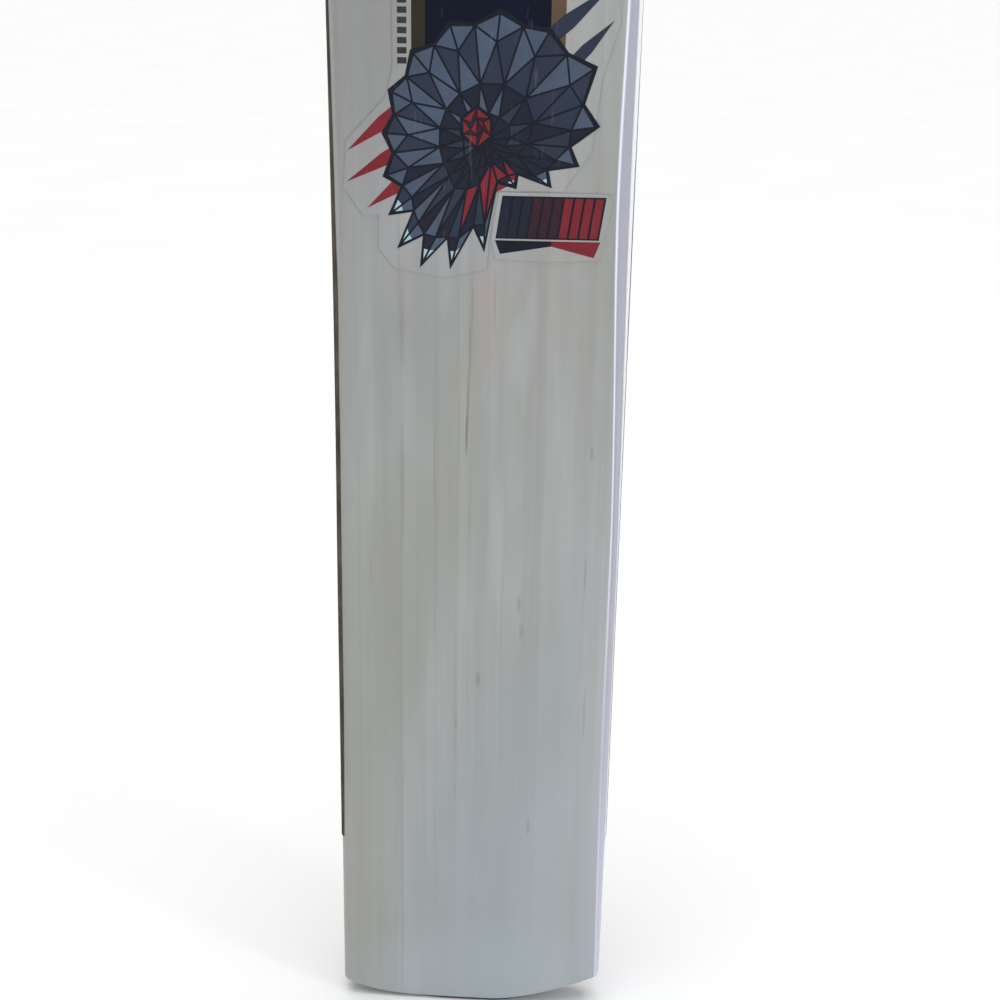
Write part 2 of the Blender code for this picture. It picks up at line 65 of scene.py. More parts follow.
# Blade
FACE_Y = -0.005
TOE_FORWARD = 0.004
BOW_HEIGHT = 0.3
FACE_CROWN = 0.001
HALF_WIDTHS = (
    (0.0, 0.053), (0.15, 0.0536), (0.3, 0.0539), (0.48, 0.054), (0.5, 0.0536),
    (0.514, 0.0515), (0.526, 0.0462), (0.536, 0.0385), (0.544, 0.03), (0.551, 0.0228),
    (0.558, 0.018),
)
BLADE_HALF_WIDTH = max(half_width for _, half_width in HALF_WIDTHS)
EDGE_DEPTHS = (
    (0.0, 0.015), (0.06, 0.0195), (0.16, 0.032), (0.25, 0.038), (0.33, 0.037),
    (0.43, 0.028), (0.51, 0.0215), (0.558, 0.02),
)
SPINE_DEPTHS = (
    (0.0, 0.02), (0.06, 0.0315), (0.16, 0.054), (0.235, 0.062), (0.32, 0.0585),
    (0.43, 0.045), (0.51, 0.0365), (0.558, 0.034),
)
EDGE_BULGES = (
    (0.0, 0.001), (0.1, 0.0016), (0.19, 0.002), (0.25, 0.0034), (0.33, 0.0056),
    (0.4, 0.0046), (0.48, 0.0034), (0.558, 0.0024),
)
CORNER_RADII = (
    (0.0, 0.0018), (0.12, 0.0032), (0.18, 0.0026), (0.23, 0.0014), (0.558, 0.0012),
)
BACK_CORNER = 0.003
BACK_BULGE = 0.0014
EDGE_MIDDLE = 0.44
RIDGE_SHARPNESS = 0.35
RIDGE_ROUNDING = 0.02
SHOULDER_START = 0.498

# How finely the blade is divided here
FACE_SPANS = 16
CORNER_SPANS = 8
SIDE_SPANS = 10
RING_STEP = 0.006
SHOULDER_STEPS = 40

# Toe and the strip under it
TOE_FLAT = 0.009
TOE_RISES = {-1: 0.0062, 1: 0.0132}
TOE_CURVE_POWERS = {-1: 3.6, 1: 1.6}
TOE_CURVE_HEIGHT = 0.07
TOE_FADE_POWER = 1.5
RIM_RADIUS = 0.001
RIM_STEPS = 6
GUARD_THICKNESS = 0.0008
GUARD_END_THICKNESS = 0.0004
GUARD_HALF_WIDTH = 0.048
GUARD_INSET = 0.001
GUARD_END_INSET = 0.0036
GUARD_COLUMNS = 96
GUARD_CHAMFER = 0.00012
TOE_BOTTOM = GUARD_THICKNESS + GLUE_LINE

# Handle, twine and grip
TONGUE_TIP_HALF_WIDTH = 0.0015
CUTTER_Y = (-0.05, 0.1)
CUTTER_TOP = BLADE_TOP + 0.02
HANDLE_HALF_WIDTH = 0.014
HANDLE_Y = 0.012
ROUND_START = 0.56
ROUND_END = 0.587
HANDLE_HALF_DEPTHS = ((0.558, 0.0165), (0.62, 0.015), (0.74, 0.014), (0.853, 0.0142))
HANDLE_POINTS = 160
TWINE_TOP = 0.852
TWINE_THICKNESS = 0.001
TWINE_SEEN_TOP = 0.58
TWINE_STEP = 0.0001
PLAIN_STEP = 0.01
THREAD_PITCH = 0.001
THREAD_GROOVE = 0.45
GRIP_BOTTOM = 0.5735
GRIP_WALLS = (
    (0.5735, 0.0026), (0.58, 0.002), (0.64, 0.002), (0.8, 0.002), (0.838, 0.003),
    (0.85, 0.0034),
)
GRIP_SKIN = GLUE_LINE * 2 + TWINE_THICKNESS
GRIP_INNER_HEIGHTS = (CANE_TOP, 0.72, ROUND_END, 0.58, GRIP_BOTTOM)
LOWER_LIP = 0.0012
LOWER_LIP_HEIGHT = 0.0016
GRIP_LIP_RADIUS = 0.011
GRIP_ROLL = 0.0024
GRIP_STEP = 0.0006
ROLL_STEPS = 10
RIB_PITCH = 0.0085
RIB_HEIGHT = 0.0008
RIB_SHARE = 0.58
RIB_SLANT = 0.015
RIB_POWER = 0.7
RIB_MARGIN = 0.009
RIB_FADE = 0.004

# Films and inks
FILM = 0.0002
FILM_GAP = 0.00015
CURVED_FILM_GAP = 0.0003
INK = 0.00003
EDGE_PRINT = 0.00005
EDGE_MARGIN = 0.00001
FILM_BED = 0.00003
PATCH_COLUMN = 0.005
PATCH_ROW = 0.02
EDGE_STICKER_Z = (0.074, 0.47)
LEFT_STICKER_FRONTS = (
    (0.074, 0.0019), (0.15, 0.0014), (0.24, 0.0012), (0.29, 0.003), (0.33, 0.006),
    (0.47, 0.0056),
)
LEFT_STICKER_BACK = 0.74
RIGHT_STICKER_FRONTS = (
    (0.074, 0.0044), (0.16, 0.0067), (0.25, 0.008), (0.33, 0.0078), (0.43, 0.0059),
    (0.47, 0.0052),
)
RIGHT_STICKER_BACK = 0.92
LEFT_STRIPE = (0.36, 0.6)
LEFT_STRIPE_ENDS = 0.012
RIGHT_STRIPE_FRONTS = ((0.074, 0.006), (0.18, 0.0088), (0.26, 0.0118), (0.47, 0.0112))
RIGHT_STRIPE_BACK = 0.66
RIGHT_STRIPE_ENDS = 0.002
EDGE_STRIP_COLUMNS = 24
EDGE_STRIP_STEP = 0.005
EDGE_STRIP_POWER = 1.6
BACK_STICKER_HALF_WIDTH = 0.026
BACK_STICKER_Z = (0.15, 0.4)
BACK_STICKER_CUT = 0.006
BACK_FIELD_CUT = 0.005
BACK_BORDER = 0.0025
BACK_INKS = 4
BACK_BURST_CENTRE = (0.0, 0.278)
BACK_BURST_SCALE = 0.5
BACK_CORE_SCALE = 0.6
BACK_LINE_SHARE = 0.6
BACK_CHEVRON = (0.02, 0.014, 0.004)
BACK_CHEVRONS = (0.185, 0.2, 0.356, 0.371)

SHARP_ANGLE = math.radians(40)
WELD = 0.000002


# ---- curves


def smooth_value(stations, height):
    """The size at this height on a smooth curve through (height, size) stations."""
    last = len(stations) - 1
    if height <= stations[0][0]:
        return stations[0][1]
    if height >= stations[last][0]:
        return stations[last][1]
    index = max(i for i, station in enumerate(stations) if station[0] <= height)
    (z0, v0), (z1, v1) = stations[index : index + 2]
    before, after = stations[max(index - 1, 0)], stations[min(index + 2, last)]
    leave_slope = (v1 - before[1]) / (z1 - before[0])
    arrive_slope = (after[1] - v0) / (after[0] - z0)
    t = (height - z0) / (z1 - z0)
    leave = leave_slope * (t**3 - 2 * t**2 + t)
    arrive = arrive_slope * (t**3 - t**2)
    return v0 + (v1 - v0) * (3 * t**2 - 2 * t**3) + (z1 - z0) * (leave + arrive)


def blend(a, b, t):
    return a + (b - a) * t


def smooth_step(t):
    t = min(max(t, 0.0), 1.0)
    return t * t * (3 - 2 * t)


def steps_between(low, high, step):
    """Evenly spaced values from low to high, about this step apart."""
    count = max(round((high - low) / step), 1)
    return [blend(low, high, i / count) for i in range(count + 1)]


def bezier(start, corner, end, t):
    """A point on the curve from start to end that leaves and arrives towards corner."""
    return tuple(
        (1 - t) ** 2 * s + 2 * t * (1 - t) * c + t**2 * e
        for s, c, e in zip(start, corner, end)
    )


# ---- blade surface


def face_y(height):
    """The middle of the hitting face, which curves forward towards the toe."""
    down = 1 - min(height, BOW_HEIGHT) / BOW_HEIGHT
    return FACE_Y - TOE_FORWARD * down**2


def face_depth(x, half_width):
    """How far the crowned face falls back at x."""
    return FACE_CROWN * (x / half_width) ** 2


def back_depth(x, height):
    """Depth of the back behind the face line: a rounded ridge with hollowed flanks."""
    half_width = smooth_value(HALF_WIDTHS, height)
    edge = smooth_value(EDGE_DEPTHS, height)
    spine = smooth_value(SPINE_DEPTHS, height)
    across = min(abs(x) / half_width, 1.0)
    bell = 0.5 + 0.5 * math.cos(math.pi * across)
    roof = 1 - math.sqrt(across**2 + RIDGE_ROUNDING) + math.sqrt(RIDGE_ROUNDING) * (1 - across)
    return edge + (spine - edge) * blend(bell, max(roof, 0.0), RIDGE_SHARPNESS)


def side_x(depth, half_width, edge, bulge):
    """Half-width of the bulging edge at this depth behind the face."""
    middle = EDGE_MIDDLE * edge
    if depth < middle:
        return half_width - bulge * ((middle - depth) / middle) ** 2
    return half_width - BACK_BULGE * ((depth - middle) / (edge - middle)) ** 2


def edge_sizes(height, inset=0.0):
    """The blade's half-width, its edge's depth and its edge's bulge at this height."""
    half_width = smooth_value(HALF_WIDTHS, height) - inset
    return half_width, smooth_value(EDGE_DEPTHS, height), smooth_value(EDGE_BULGES, height)


def front_corner(height, inset=0.0):
    """Start, sharp corner and end of the rounding between the face and the edge."""
    sizes = edge_sizes(height, inset)
    radius = smooth_value(CORNER_RADII, height)
    corner_x = side_x(0.0, *sizes)
    start_x = corner_x - radius
    depth = face_depth(start_x, sizes[0]) + inset
    return (start_x, depth), (corner_x, depth), (side_x(depth + radius, *sizes), depth + radius)


def back_corner(height, inset=0.0):
    """Start, sharp corner and end of the rounding between the back and the edge."""
    sizes = edge_sizes(height, inset)
    half_width, edge, _ = sizes
    corner_x = half_width - BACK_BULGE
    start_x = corner_x - BACK_CORNER
    end_depth = edge - BACK_CORNER
    start = (start_x, back_depth(start_x, height) - inset)
    return start, (corner_x, edge - inset), (side_x(end_depth, *sizes), end_depth)


def quarter_section(depth_at, corner, sizes):
    """Points (x, depth) from the blade's middle, round this corner, to the edge's middle."""
    points = []
    for i in range(FACE_SPANS):
        x = corner[0][0] * i / FACE_SPANS
        points.append((x, depth_at(x)))
    points += [bezier(*corner, i / CORNER_SPANS) for i in range(CORNER_SPANS + 1)]
    for i in range(1, SIDE_SPANS + 1):
        depth = blend(corner[2][1], EDGE_MIDDLE * sizes[1], i / SIDE_SPANS)
        points.append((side_x(depth, *sizes), depth))
    return points


def full_section(height, inset=0.0):
    """The whole outline, from the left edge along the face and back along the back."""
    sizes = edge_sizes(height, inset)
    front = quarter_section(
        lambda x: face_depth(x, sizes[0]) + inset, front_corner(height, inset), sizes
    )
    back = quarter_section(
        lambda x: back_depth(x, height) - inset, back_corner(height, inset), sizes
    )
    ring = [(-x, depth) for x, depth in reversed(front)]
    ring += front[1:]
    ring += list(reversed(back))[1:]
    ring += [(-x, depth) for x, depth in back[1:-1]]
    return ring


def edge_surface_x(depth, height):
    """Half-width of the blade at this depth, on the rounded corner or on the edge behind it."""
    start, sharp, end = front_corner(height)
    if depth >= end[1]:
        return side_x(depth, *edge_sizes(height))
    turn = math.sqrt(max(depth - start[1], 0.0) / (end[1] - start[1]))
    return bezier(start, sharp, end, turn)[0]


def toe_lift(x):
    """How much higher than its middle the toe is at x: a flat, then a curve each way."""
    side = -1 if x < 0 else 1
    out = max(abs(x) - TOE_FLAT, 0.0) / (HALF_WIDTHS[0][1] - TOE_FLAT)
    return TOE_RISES[side] * out ** TOE_CURVE_POWERS[side]


def blade_point(x, depth, height):
    """World position of a section point, with the toe's curve fading out above it."""
    fade = max(1 - (height - TOE_BOTTOM) / TOE_CURVE_HEIGHT, 0.0) ** TOE_FADE_POWER
    return (x, face_y(height) + depth, height + toe_lift(x) * fade)


def face_point(x, z, lift):
    """The point this far in front of the hitting face at (x, z)."""
    return (x, face_y(z) + face_depth(x, smooth_value(HALF_WIDTHS, z)) - lift, z)


def back_point(x, z, lift):
    """The point this far behind the back at (x, z)."""
    return (x, face_y(z) + back_depth(x, z) + lift, z)


# ---- meshes


def new_piece(name, bm, material, slot=None, stands_for=()):
    """Turns a bmesh into a smooth-shaded piece, which rides on the bat if it has a slot."""
    bmesh.ops.recalc_face_normals(bm, faces=bm.faces)
    mesh = bpy.data.meshes.new(name)
    bm.to_mesh(mesh)
    bm.free()
    piece = bpy.data.objects.new(name, mesh)
    bpy.context.scene.collection.objects.link(piece)
    mesh.materials.append(material)
    finish_shading(mesh)
    if slot:
        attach(piece, "root")
    if stands_for:
        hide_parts(*stands_for)
    return piece


def finish_shading(mesh):
    mesh.shade_smooth()
    mesh.set_sharp_from_angle(angle=SHARP_ANGLE)


def bridge_rings(bm, rings, closed=False):
    """Adds each ring's points and the faces from ring to ring, and back to the first if closed."""
    rows = [[bm.verts.new(point) for point in ring] for ring in rings]
    for lower, upper in zip(rows, rows[1:] + rows[:closed]):
        for i in range(len(lower)):
            j = (i + 1) % len(lower)
            bm.faces.new((lower[i], lower[j], upper[j], upper[i]))
    return rows


def ladder_cap(bm, row):
    """Closes a ring whose front and back halves match point for point."""
    for i in range(len(row) // 2):
        corners = [row[i], row[i + 1], row[(-i - 1) % len(row)], row[-i % len(row)]]
        bm.faces.new(list(dict.fromkeys(corners)))


def splice_cutter():
    """A V-shaped block that cuts the splice right through the blade."""
    tip = TONGUE_TIP_HALF_WIDTH + GLUE_LINE
    side = HANDLE_HALF_WIDTH + GLUE_LINE
    bottom = SPLICE_TIP - GLUE_LINE
    outline = [
        (-tip, bottom), (tip, bottom), (side, BLADE_TOP),
        (side, CUTTER_TOP), (-side, CUTTER_TOP), (-side, BLADE_TOP),
    ]
    bm = bmesh.new()
    rings = [[(x, y, z) for x, z in outline] for y in CUTTER_Y]
    for row in bridge_rings(bm, rings):
        bm.faces.new(row)
    return new_piece("splice_cutter", bm, None)


def split_walls(mesh):
    """Splits the many-sided walls that the splice leaves into well-shaped triangles."""
    bm = bmesh.new()
    bm.from_mesh(mesh)
    walls = [face for face in bm.faces if len(face.verts) > 4]
    bmesh.ops.triangulate(bm, faces=walls, ngon_method="BEAUTY")
    bm.to_mesh(mesh)
    bm.free()


def make_blade(willow):
    """The willow blade with a fine surface and the splice cut out of its upper end."""
    rings = []
    for step in range(RIM_STEPS):
        angle = math.radians(90 * step / RIM_STEPS)
        inset = RIM_RADIUS * (1 - math.sin(angle))
        height = TOE_BOTTOM + RIM_RADIUS * (1 - math.cos(angle))
        rings.append([blade_point(x, depth, height) for x, depth in full_section(height, inset)])
    heights = steps_between(TOE_BOTTOM + RIM_RADIUS, SHOULDER_START, RING_STEP)
    shoulder_step = (BLADE_TOP - SHOULDER_START) / SHOULDER_STEPS
    heights += steps_between(SHOULDER_START, BLADE_TOP, shoulder_step)[1:]
    for height in heights:
        rings.append([blade_point(x, depth, height) for x, depth in full_section(height)])
    bm = bmesh.new()
    rows = bridge_rings(bm, rings)
    ladder_cap(bm, rows[0])
    ladder_cap(bm, rows[-1])
    blade = new_piece("willow_blade", bm, willow, "willow", ["blade"])
    cutter = splice_cutter()
    cut = blade.modifiers.new("splice", "BOOLEAN")
    cut.operation = "DIFFERENCE"
    cut.solver = "MANIFOLD"
    cut.object = cutter
    graph = bpy.context.evaluated_depsgraph_get()
    blade.data = bpy.data.meshes.new_from_object(blade.evaluated_get(graph))
    blade.modifiers.clear()
    bpy.data.objects.remove(cutter)
    split_walls(blade.data)
    finish_shading(blade.data)


def make_toe_guard(rubber):
    """The rubber strip under the toe, thickest in the middle, with softened lower edges."""
    rings = []
    for i in range(GUARD_COLUMNS + 1):
        x = blend(-GUARD_HALF_WIDTH, GUARD_HALF_WIDTH, i / GUARD_COLUMNS)
        out = max(abs(x) - TOE_FLAT, 0.0) / (GUARD_HALF_WIDTH - TOE_FLAT)
        inset = blend(GUARD_INSET, GUARD_END_INSET, out)
        front = face_y(0.0) + face_depth(x, HALF_WIDTHS[0][1]) + inset
        rear = face_y(0.0) + back_depth(x, 0.0) - 2 * RIM_RADIUS
        top = GUARD_THICKNESS + toe_lift(x)
        bottom = top - blend(GUARD_THICKNESS, GUARD_END_THICKNESS, out**2)
        soft = bottom + GUARD_CHAMFER
        outline = [
            (front, soft), (front + GUARD_CHAMFER, bottom), (rear - GUARD_CHAMFER, bottom),
            (rear, soft), (rear, top), (front, top),
        ]
        rings.append([(x, y, z) for y, z in outline])
    bm = bmesh.new()
    rows = bridge_rings(bm, rings)
    bm.faces.new(rows[0])
    bm.faces.new(rows[-1])
    new_piece("toe_rubber", bm, rubber, "guard_rubber", ["toe_guard"])


# ---- handle


def clipped_wave(wave):
    """Turns a sine or cosine into one that stays at its end values for a quarter turn."""
    return min(max(wave * math.sqrt(2), -1.0), 1.0)


def handle_ring(height, grow):
    """Section of the handle, square at the shoulders and oval above, moved out by grow.

    Where grow is a function, it gives the distance from the height and the share of a turn.
    """
    roundness = smooth_step((height - ROUND_START) / (ROUND_END - ROUND_START))
    half_y = smooth_value(HANDLE_HALF_DEPTHS, height)
    ring = []
    for i in range(HANDLE_POINTS):
        angle = math.pi + 2 * math.pi * i / HANDLE_POINTS
        across, down = math.cos(angle), math.sin(angle)
        square_x = HANDLE_HALF_WIDTH * clipped_wave(across)
        front = FACE_Y + face_depth(square_x, HALF_WIDTHS[-1][1])
        rear = FACE_Y + back_depth(square_x, BLADE_TOP)
        square_y = blend(front, rear, 0.5 + 0.5 * clipped_wave(down))
        x = blend(square_x, HANDLE_HALF_WIDTH * across, roundness)
        y = blend(square_y, HANDLE_Y + half_y * down, roundness)
        ring.append((x, y))
    centre_y = sum(y for _, y in ring) / HANDLE_POINTS
    grown = []
    for index, (x, y) in enumerate(ring):
        out = math.hypot(x, y - centre_y)
        amount = grow(height, index / HANDLE_POINTS) if callable(grow) else grow
        scale = (out + amount) / out
        grown.append((x * scale, centre_y + (y - centre_y) * scale, height))
    return grown


def thread_height(height, turn):
    """How far the wound thread stands off the cane at this height and share of a turn."""
    swell = math.sqrt(math.sin(math.pi * ((height / THREAD_PITCH - turn) % 1.0)))
    return GLUE_LINE + TWINE_THICKNESS * (1 - THREAD_GROOVE + THREAD_GROOVE * swell)


def make_twine(twine):
    """The waxed thread: its turns show below the grip, and under the grip it is a plain sleeve."""
    seen = steps_between(ROUND_START, TWINE_SEEN_TOP, TWINE_STEP)
    outside = [handle_ring(height, thread_height) for height in seen]
    hidden = steps_between(TWINE_SEEN_TOP, TWINE_TOP, PLAIN_STEP)[1:]
    outside += [handle_ring(height, GLUE_LINE + TWINE_THICKNESS) for height in hidden]
    inside = [handle_ring(height, GLUE_LINE) for height in (TWINE_TOP, ROUND_END, ROUND_START)]
    bm = bmesh.new()
    bridge_rings(bm, outside + inside, closed=True)
    new_piece("wound_twine", bm, twine, "waxed_twine", ["handle_twine"])


def grip_height(height, turn):
    """How far the grip's outside stands off the cane: its wall, thin lower lip and chevron ribs."""
    lip = LOWER_LIP * (1 - smooth_step((height - GRIP_BOTTOM) / LOWER_LIP_HEIGHT))
    slant = abs((2 * turn + 0.5) % 2 - 1) * RIB_SLANT * 2
    phase = ((height + slant) / RIB_PITCH) % 1.0
    swell = math.sin(math.pi * min(phase / RIB_SHARE, 1.0)) ** RIB_POWER
    margin = min(height - GRIP_BOTTOM, BAT_LENGTH - height) - RIB_MARGIN
    rib = RIB_HEIGHT * swell * smooth_step(margin / RIB_FADE)
    return GRIP_SKIN + smooth_value(GRIP_WALLS, height) - lip + rib


def make_grip(grip_rubber):
    """The rubber grip: a ribbed sleeve whose top rolls in over the cane's end."""
    rolled = BAT_LENGTH - GRIP_ROLL
    heights = steps_between(GRIP_BOTTOM, rolled, GRIP_STEP)
    outside = [handle_ring(height, grip_height) for height in heights]
    reach = GRIP_SKIN + smooth_value(GRIP_WALLS, rolled)
    for step in range(1, ROLL_STEPS + 1):
        angle = math.radians(90 * step / ROLL_STEPS)
        ring = handle_ring(CANE_TOP, reach - GRIP_ROLL * (1 - math.cos(angle)))
        outside.append([(x, y, rolled + GRIP_ROLL * math.sin(angle)) for x, y, _ in ring])
    lip_ring = handle_ring(CANE_TOP, GRIP_LIP_RADIUS - HANDLE_HALF_WIDTH)
    inner_ring = handle_ring(CANE_TOP, GRIP_SKIN)
    under = CANE_TOP + GLUE_LINE
    inside = []
    for ring, z in ((lip_ring, BAT_LENGTH), (lip_ring, under), (inner_ring, under)):
        inside.append([(x, y, z) for x, y, _ in ring])
    inside += [handle_ring(height, GRIP_SKIN) for height in GRIP_INNER_HEIGHTS]
    bm = bmesh.new()
    bridge_rings(bm, outside + inside, closed=True)
    new_piece("ribbed_grip", bm, grip_rubber, "grip_rubber", ["grip"])


# ---- node helpers


class Nodes:
    """Builds the shader nodes of one tree. Places in it are object coordinates, in metres."""

    def __init__(self, tree):
        self.tree = tree
        self.coordinates = self.add("TexCoord").outputs
        self.place = self.coordinates["Object"]
        self.x, _, self.z = self.split(self.place)

    def add(self, kind, inputs=None, **settings):
        """Adds a node, sets its properties, and links or sets its inputs by name or number."""
        made = self.tree.nodes.new("ShaderNode" + kind)
        for key, value in settings.items():
            setattr(made, key, value)
        for key, value in (inputs or {}).items():
            if isinstance(value, bpy.types.NodeSocket):
                self.tree.links.new(value, made.inputs[key])
            else:
                made.inputs[key].default_value = value
        return made

    def split(self, vector):
        """The three parts of a vector."""
        return self.add("SeparateXYZ", {0: vector}).outputs

    def calc(self, operation, *values, clamp=False):
        """One step of arithmetic on numbers or sockets."""
        inputs = dict(enumerate(values))
        return self.add("Math", inputs, operation=operation, use_clamp=clamp).outputs[0]

    def calc_vector(self, operation, a, b, result="Vector"):
        """One step of arithmetic on two vectors."""
        return self.add("VectorMath", {0: a, 1: b}, operation=operation).outputs[result]

    def ramp(self, factor, stops, interpolation="LINEAR"):
        """Greys from a ramp through (position, value) stops."""
        made = self.add("ValToRGB", {"Fac": factor})
        elements = made.color_ramp.elements
        made.color_ramp.interpolation = interpolation
        while len(elements) < len(stops):
            elements.new(1.0)
        for element, (position, value) in zip(elements, stops):
            element.position = position
            element.color = (value, value, value, 1)
        return made.outputs["Color"]

    def mix(self, factor, a, b, blend_type="MIX"):
        """Colour a with colour b mixed in, or multiplied, by this factor."""
        inputs = {0: factor}
        for socket, value in ((6, a), (7, b)):
            inputs[socket] = (*value, 1) if isinstance(value, tuple) else value
        return self.add("Mix", inputs, data_type="RGBA", blend_type=blend_type).outputs[2]

    def noise(self, stretch, detail=2.0, roughness=0.5, distortion=0.0):
        """Noise with this many features per metre along X, Y and Z, as a value about 0.5."""
        scaled = self.calc_vector("MULTIPLY", self.place, stretch)
        inputs = {"Vector": scaled, "Scale": 1.0, "Detail": detail}
        inputs.update({"Roughness": roughness, "Distortion": distortion})
        return self.add("TexNoise", inputs).outputs["Fac"]

    def spread(self, value, low=0.0, high=1.0):
        """Maps noise from its usual 0.3 to 0.7 onto low to high."""
        inputs = {"Value": value, "From Min": 0.3, "From Max": 0.7, "To Min": low, "To Max": high}
        return self.add("MapRange", inputs).outputs["Result"]

    def spot(self, centre, radii):
        """A soft ellipsoid spot: 1 at its centre and 0 outside."""
        away = self.calc_vector("SUBTRACT", self.place, centre)
        scaled = self.calc_vector("MULTIPLY", away, tuple(1 / radius for radius in radii))
        square = self.calc_vector("DOT_PRODUCT", scaled, scaled, "Value")
        return self.calc("SUBTRACT", 1.0, square, clamp=True)


class Look(Nodes):
    """A material in the making, with constant values set on its shader's own sockets."""

    def __init__(self, name, roughness=0.5, **constants):
        self.material = bpy.data.materials.new(name)
        self.material.use_nodes = True
        super().__init__(self.material.node_tree)
        self.sockets = self.tree.nodes["Principled BSDF"].inputs
        self.sockets["Roughness"].default_value = roughness
        for key, value in constants.items():
            self.sockets[key.replace("_", " ")].default_value = value

    def finish(self, colour, gloss=None, relief=None, depth=0.0, strength=0.5):
        """Links the colour, the roughness and a relief this deep, and gives the material."""
        self.tree.links.new(colour, self.sockets["Base Color"])
        if gloss:
            self.tree.links.new(gloss, self.sockets["Roughness"])
        if relief:
            inputs = {"Height": relief, "Distance": depth, "Strength": strength}
            normal = self.add("Bump", inputs).outputs["Normal"]
            self.tree.links.new(normal, self.sockets["Normal"])
        return self.material


# ---- willow

# Growth lines of the willow as (x, strength), the way they cross the hitting face
GROWTH_LINES = (
    (-0.05, 0.4), (-0.044, 0.5), (-0.038, 0.45), (-0.028, 0.75), (-0.022, 0.25),
    (-0.015, 0.6), (-0.007, 0.45), (-0.0025, 1.0), (0.004, 0.3), (0.0105, 0.6),
    (0.0175, 0.35), (0.0245, 0.3), (0.031, 0.5), (0.0415, 0.35), (0.0475, 0.3),
)
MILLIMETRE = 0.001
LINE_FADE = 0.0011
LINE_EDGE = 0.0003
LINE_SPAN = 0.06
RAMP_LINES = 8
LINE_SHADE = 0.33
LINE_TONE = (0.168, 0.164, 0.14)
BAND_TONES = (0.945, 1.0)
BAND_TURN = 2.4

# The wood's tones at its left and right edges and at the toe, with the last one's strength
# and height. The left one is darkened as painted shade; the right one and the toe one are lightened
# as painted light.
LEFT_TONE_WITH_PAINTED_SHADE = (0.298, 0.311, 0.3)
RIGHT_TONE_WITH_PAINTED_LIGHT = (0.388, 0.396, 0.401)
TOE_TONE_WITH_PAINTED_LIGHT = (0.358, 0.384, 0.4)
TOE_PAINTED_LIGHT_SHARE = 0.7
TOE_PAINTED_LIGHT_HEIGHT = 0.2

# Clouds as (features per metre, detail, distortion, least and most strength, colour)
CLOUDS = (
    ((50.0, 28.0, 9.0), 2.0, 0.0, -0.1, 0.24, (0.33, 0.3, 0.28)),
    ((24.0, 30.0, 12.0), 2.0, 0.0, -0.1, 0.5, (0.296, 0.32, 0.3)),
    ((42.0, 42.0, 13.0), 3.0, 0.3, -0.2, 0.6, (0.385, 0.4, 0.395)),
    ((30.0, 36.0, 8.0), 3.0, 0.3, -0.2, 0.5, (0.262, 0.266, 0.238)),
)
STREAK_TONE = (0.252, 0.25, 0.222)
FIBRE_TONE = (0.25, 0.246, 0.216)

# Flecks in the hitting face, and the other soft spots after them, as (x, height, half-width,
# half-length, strength), in millimetres
FLECKS = (
    (1.6, 147, 1.2, 4.2, 0.32), (-6.8, 128, 0.8, 3, 0.22), (22.3, 83, 0.9, 4.5, 0.24),
    (16.8, 179, 1, 4, 0.26), (42.4, 240, 1, 3.5, 0.28), (18, 168, 0.9, 4.5, 0.2),
    (-7, 98, 0.5, 4, 0.18), (43, 134, 0.6, 14, 0.26), (-39.5, 190, 0.6, 8, 0.14),
    (41.6, 192, 0.6, 9, 0.26), (-3.7, 246, 0.6, 10, 0.62), (-3.3, 258, 0.6, 14, 0.46),
    (-2.7, 276, 0.6, 17, 0.34), (-2, 294, 0.6, 15, 0.2), (6, 297, 0.6, 13, 0.22),
    (-27.2, 288, 1, 20, 0.22), (-27.4, 226, 0.9, 26, 0.18), (-15.5, 232, 0.6, 30, 0.24),
)
# Pale streaks, lightened as painted highlight
PALE_SPOTS = (
    (15.5, 276, 5, 18, 0.24), (8, 206, 3, 32, 0.3), (-26.5, 260, 5, 26, 0.18),
    (33, 236, 7, 45, 0.14), (19.5, 294, 3.2, 18, 0.2), (-12, 305, 3.4, 16, 0.16),
)
OLIVES = ((-44, 45, 11, 100, 0.5), (-38, 170, 20, 70, 0.3))
BLUES = ((12, 20, 30, 150, 0.62), (-15, 70, 18, 80, 0.25), (25, 120, 20, 80, 0.25))
# Painted cool light along the right edge near the toe, and a faint lavender tinge high on the face
LAVENDERS = ((56, 40, 13, 140, 0.6), (-15, 330, 40, 50, 0.18))
# Painted shade on the upper left of the face
PAINTED_SHADES = ((-46, 390, 33, 85, 0.56), (-30, 300, 40, 60, 0.22))
# Painted light low on the face and along its right side
SHINES = ((42, 20, 30, 120, 0.36), (6, -6, 70, 48, 0.42), (43, 130, 20, 120, 0.2))
STAINS = ((4.5, 289, 7.5, 24, 0.26), (2, 301, 6, 14, 0.16), (-26, 306, 4, 15, 0.12))
TINGES = ((-5, 264, 7, 14, 0.34), (-6, 205, 5, 30, 0.14))

# Every kind of mark, painted light and painted shade among them, in the order it is laid on, with its
# colour and its half-depth in metres
MARKS_AND_PAINTED_LIGHT = (
    (OLIVES, (0.29, 0.292, 0.244), 0.01), (BLUES, (0.3, 0.355, 0.385), 0.01),
    (LAVENDERS, (0.4, 0.4, 0.49), 0.01), (PAINTED_SHADES, (0.228, 0.23, 0.238), 0.01),
    (SHINES, (0.41, 0.47, 0.51), 0.01), (PALE_SPOTS, (0.45, 0.47, 0.47), 0.006),
    (STAINS, (0.4, 0.29, 0.25), 0.006), (TINGES, (0.3, 0.31, 0.19), 0.006),
    (FLECKS, (0.105, 0.09, 0.066), 0.004),
)

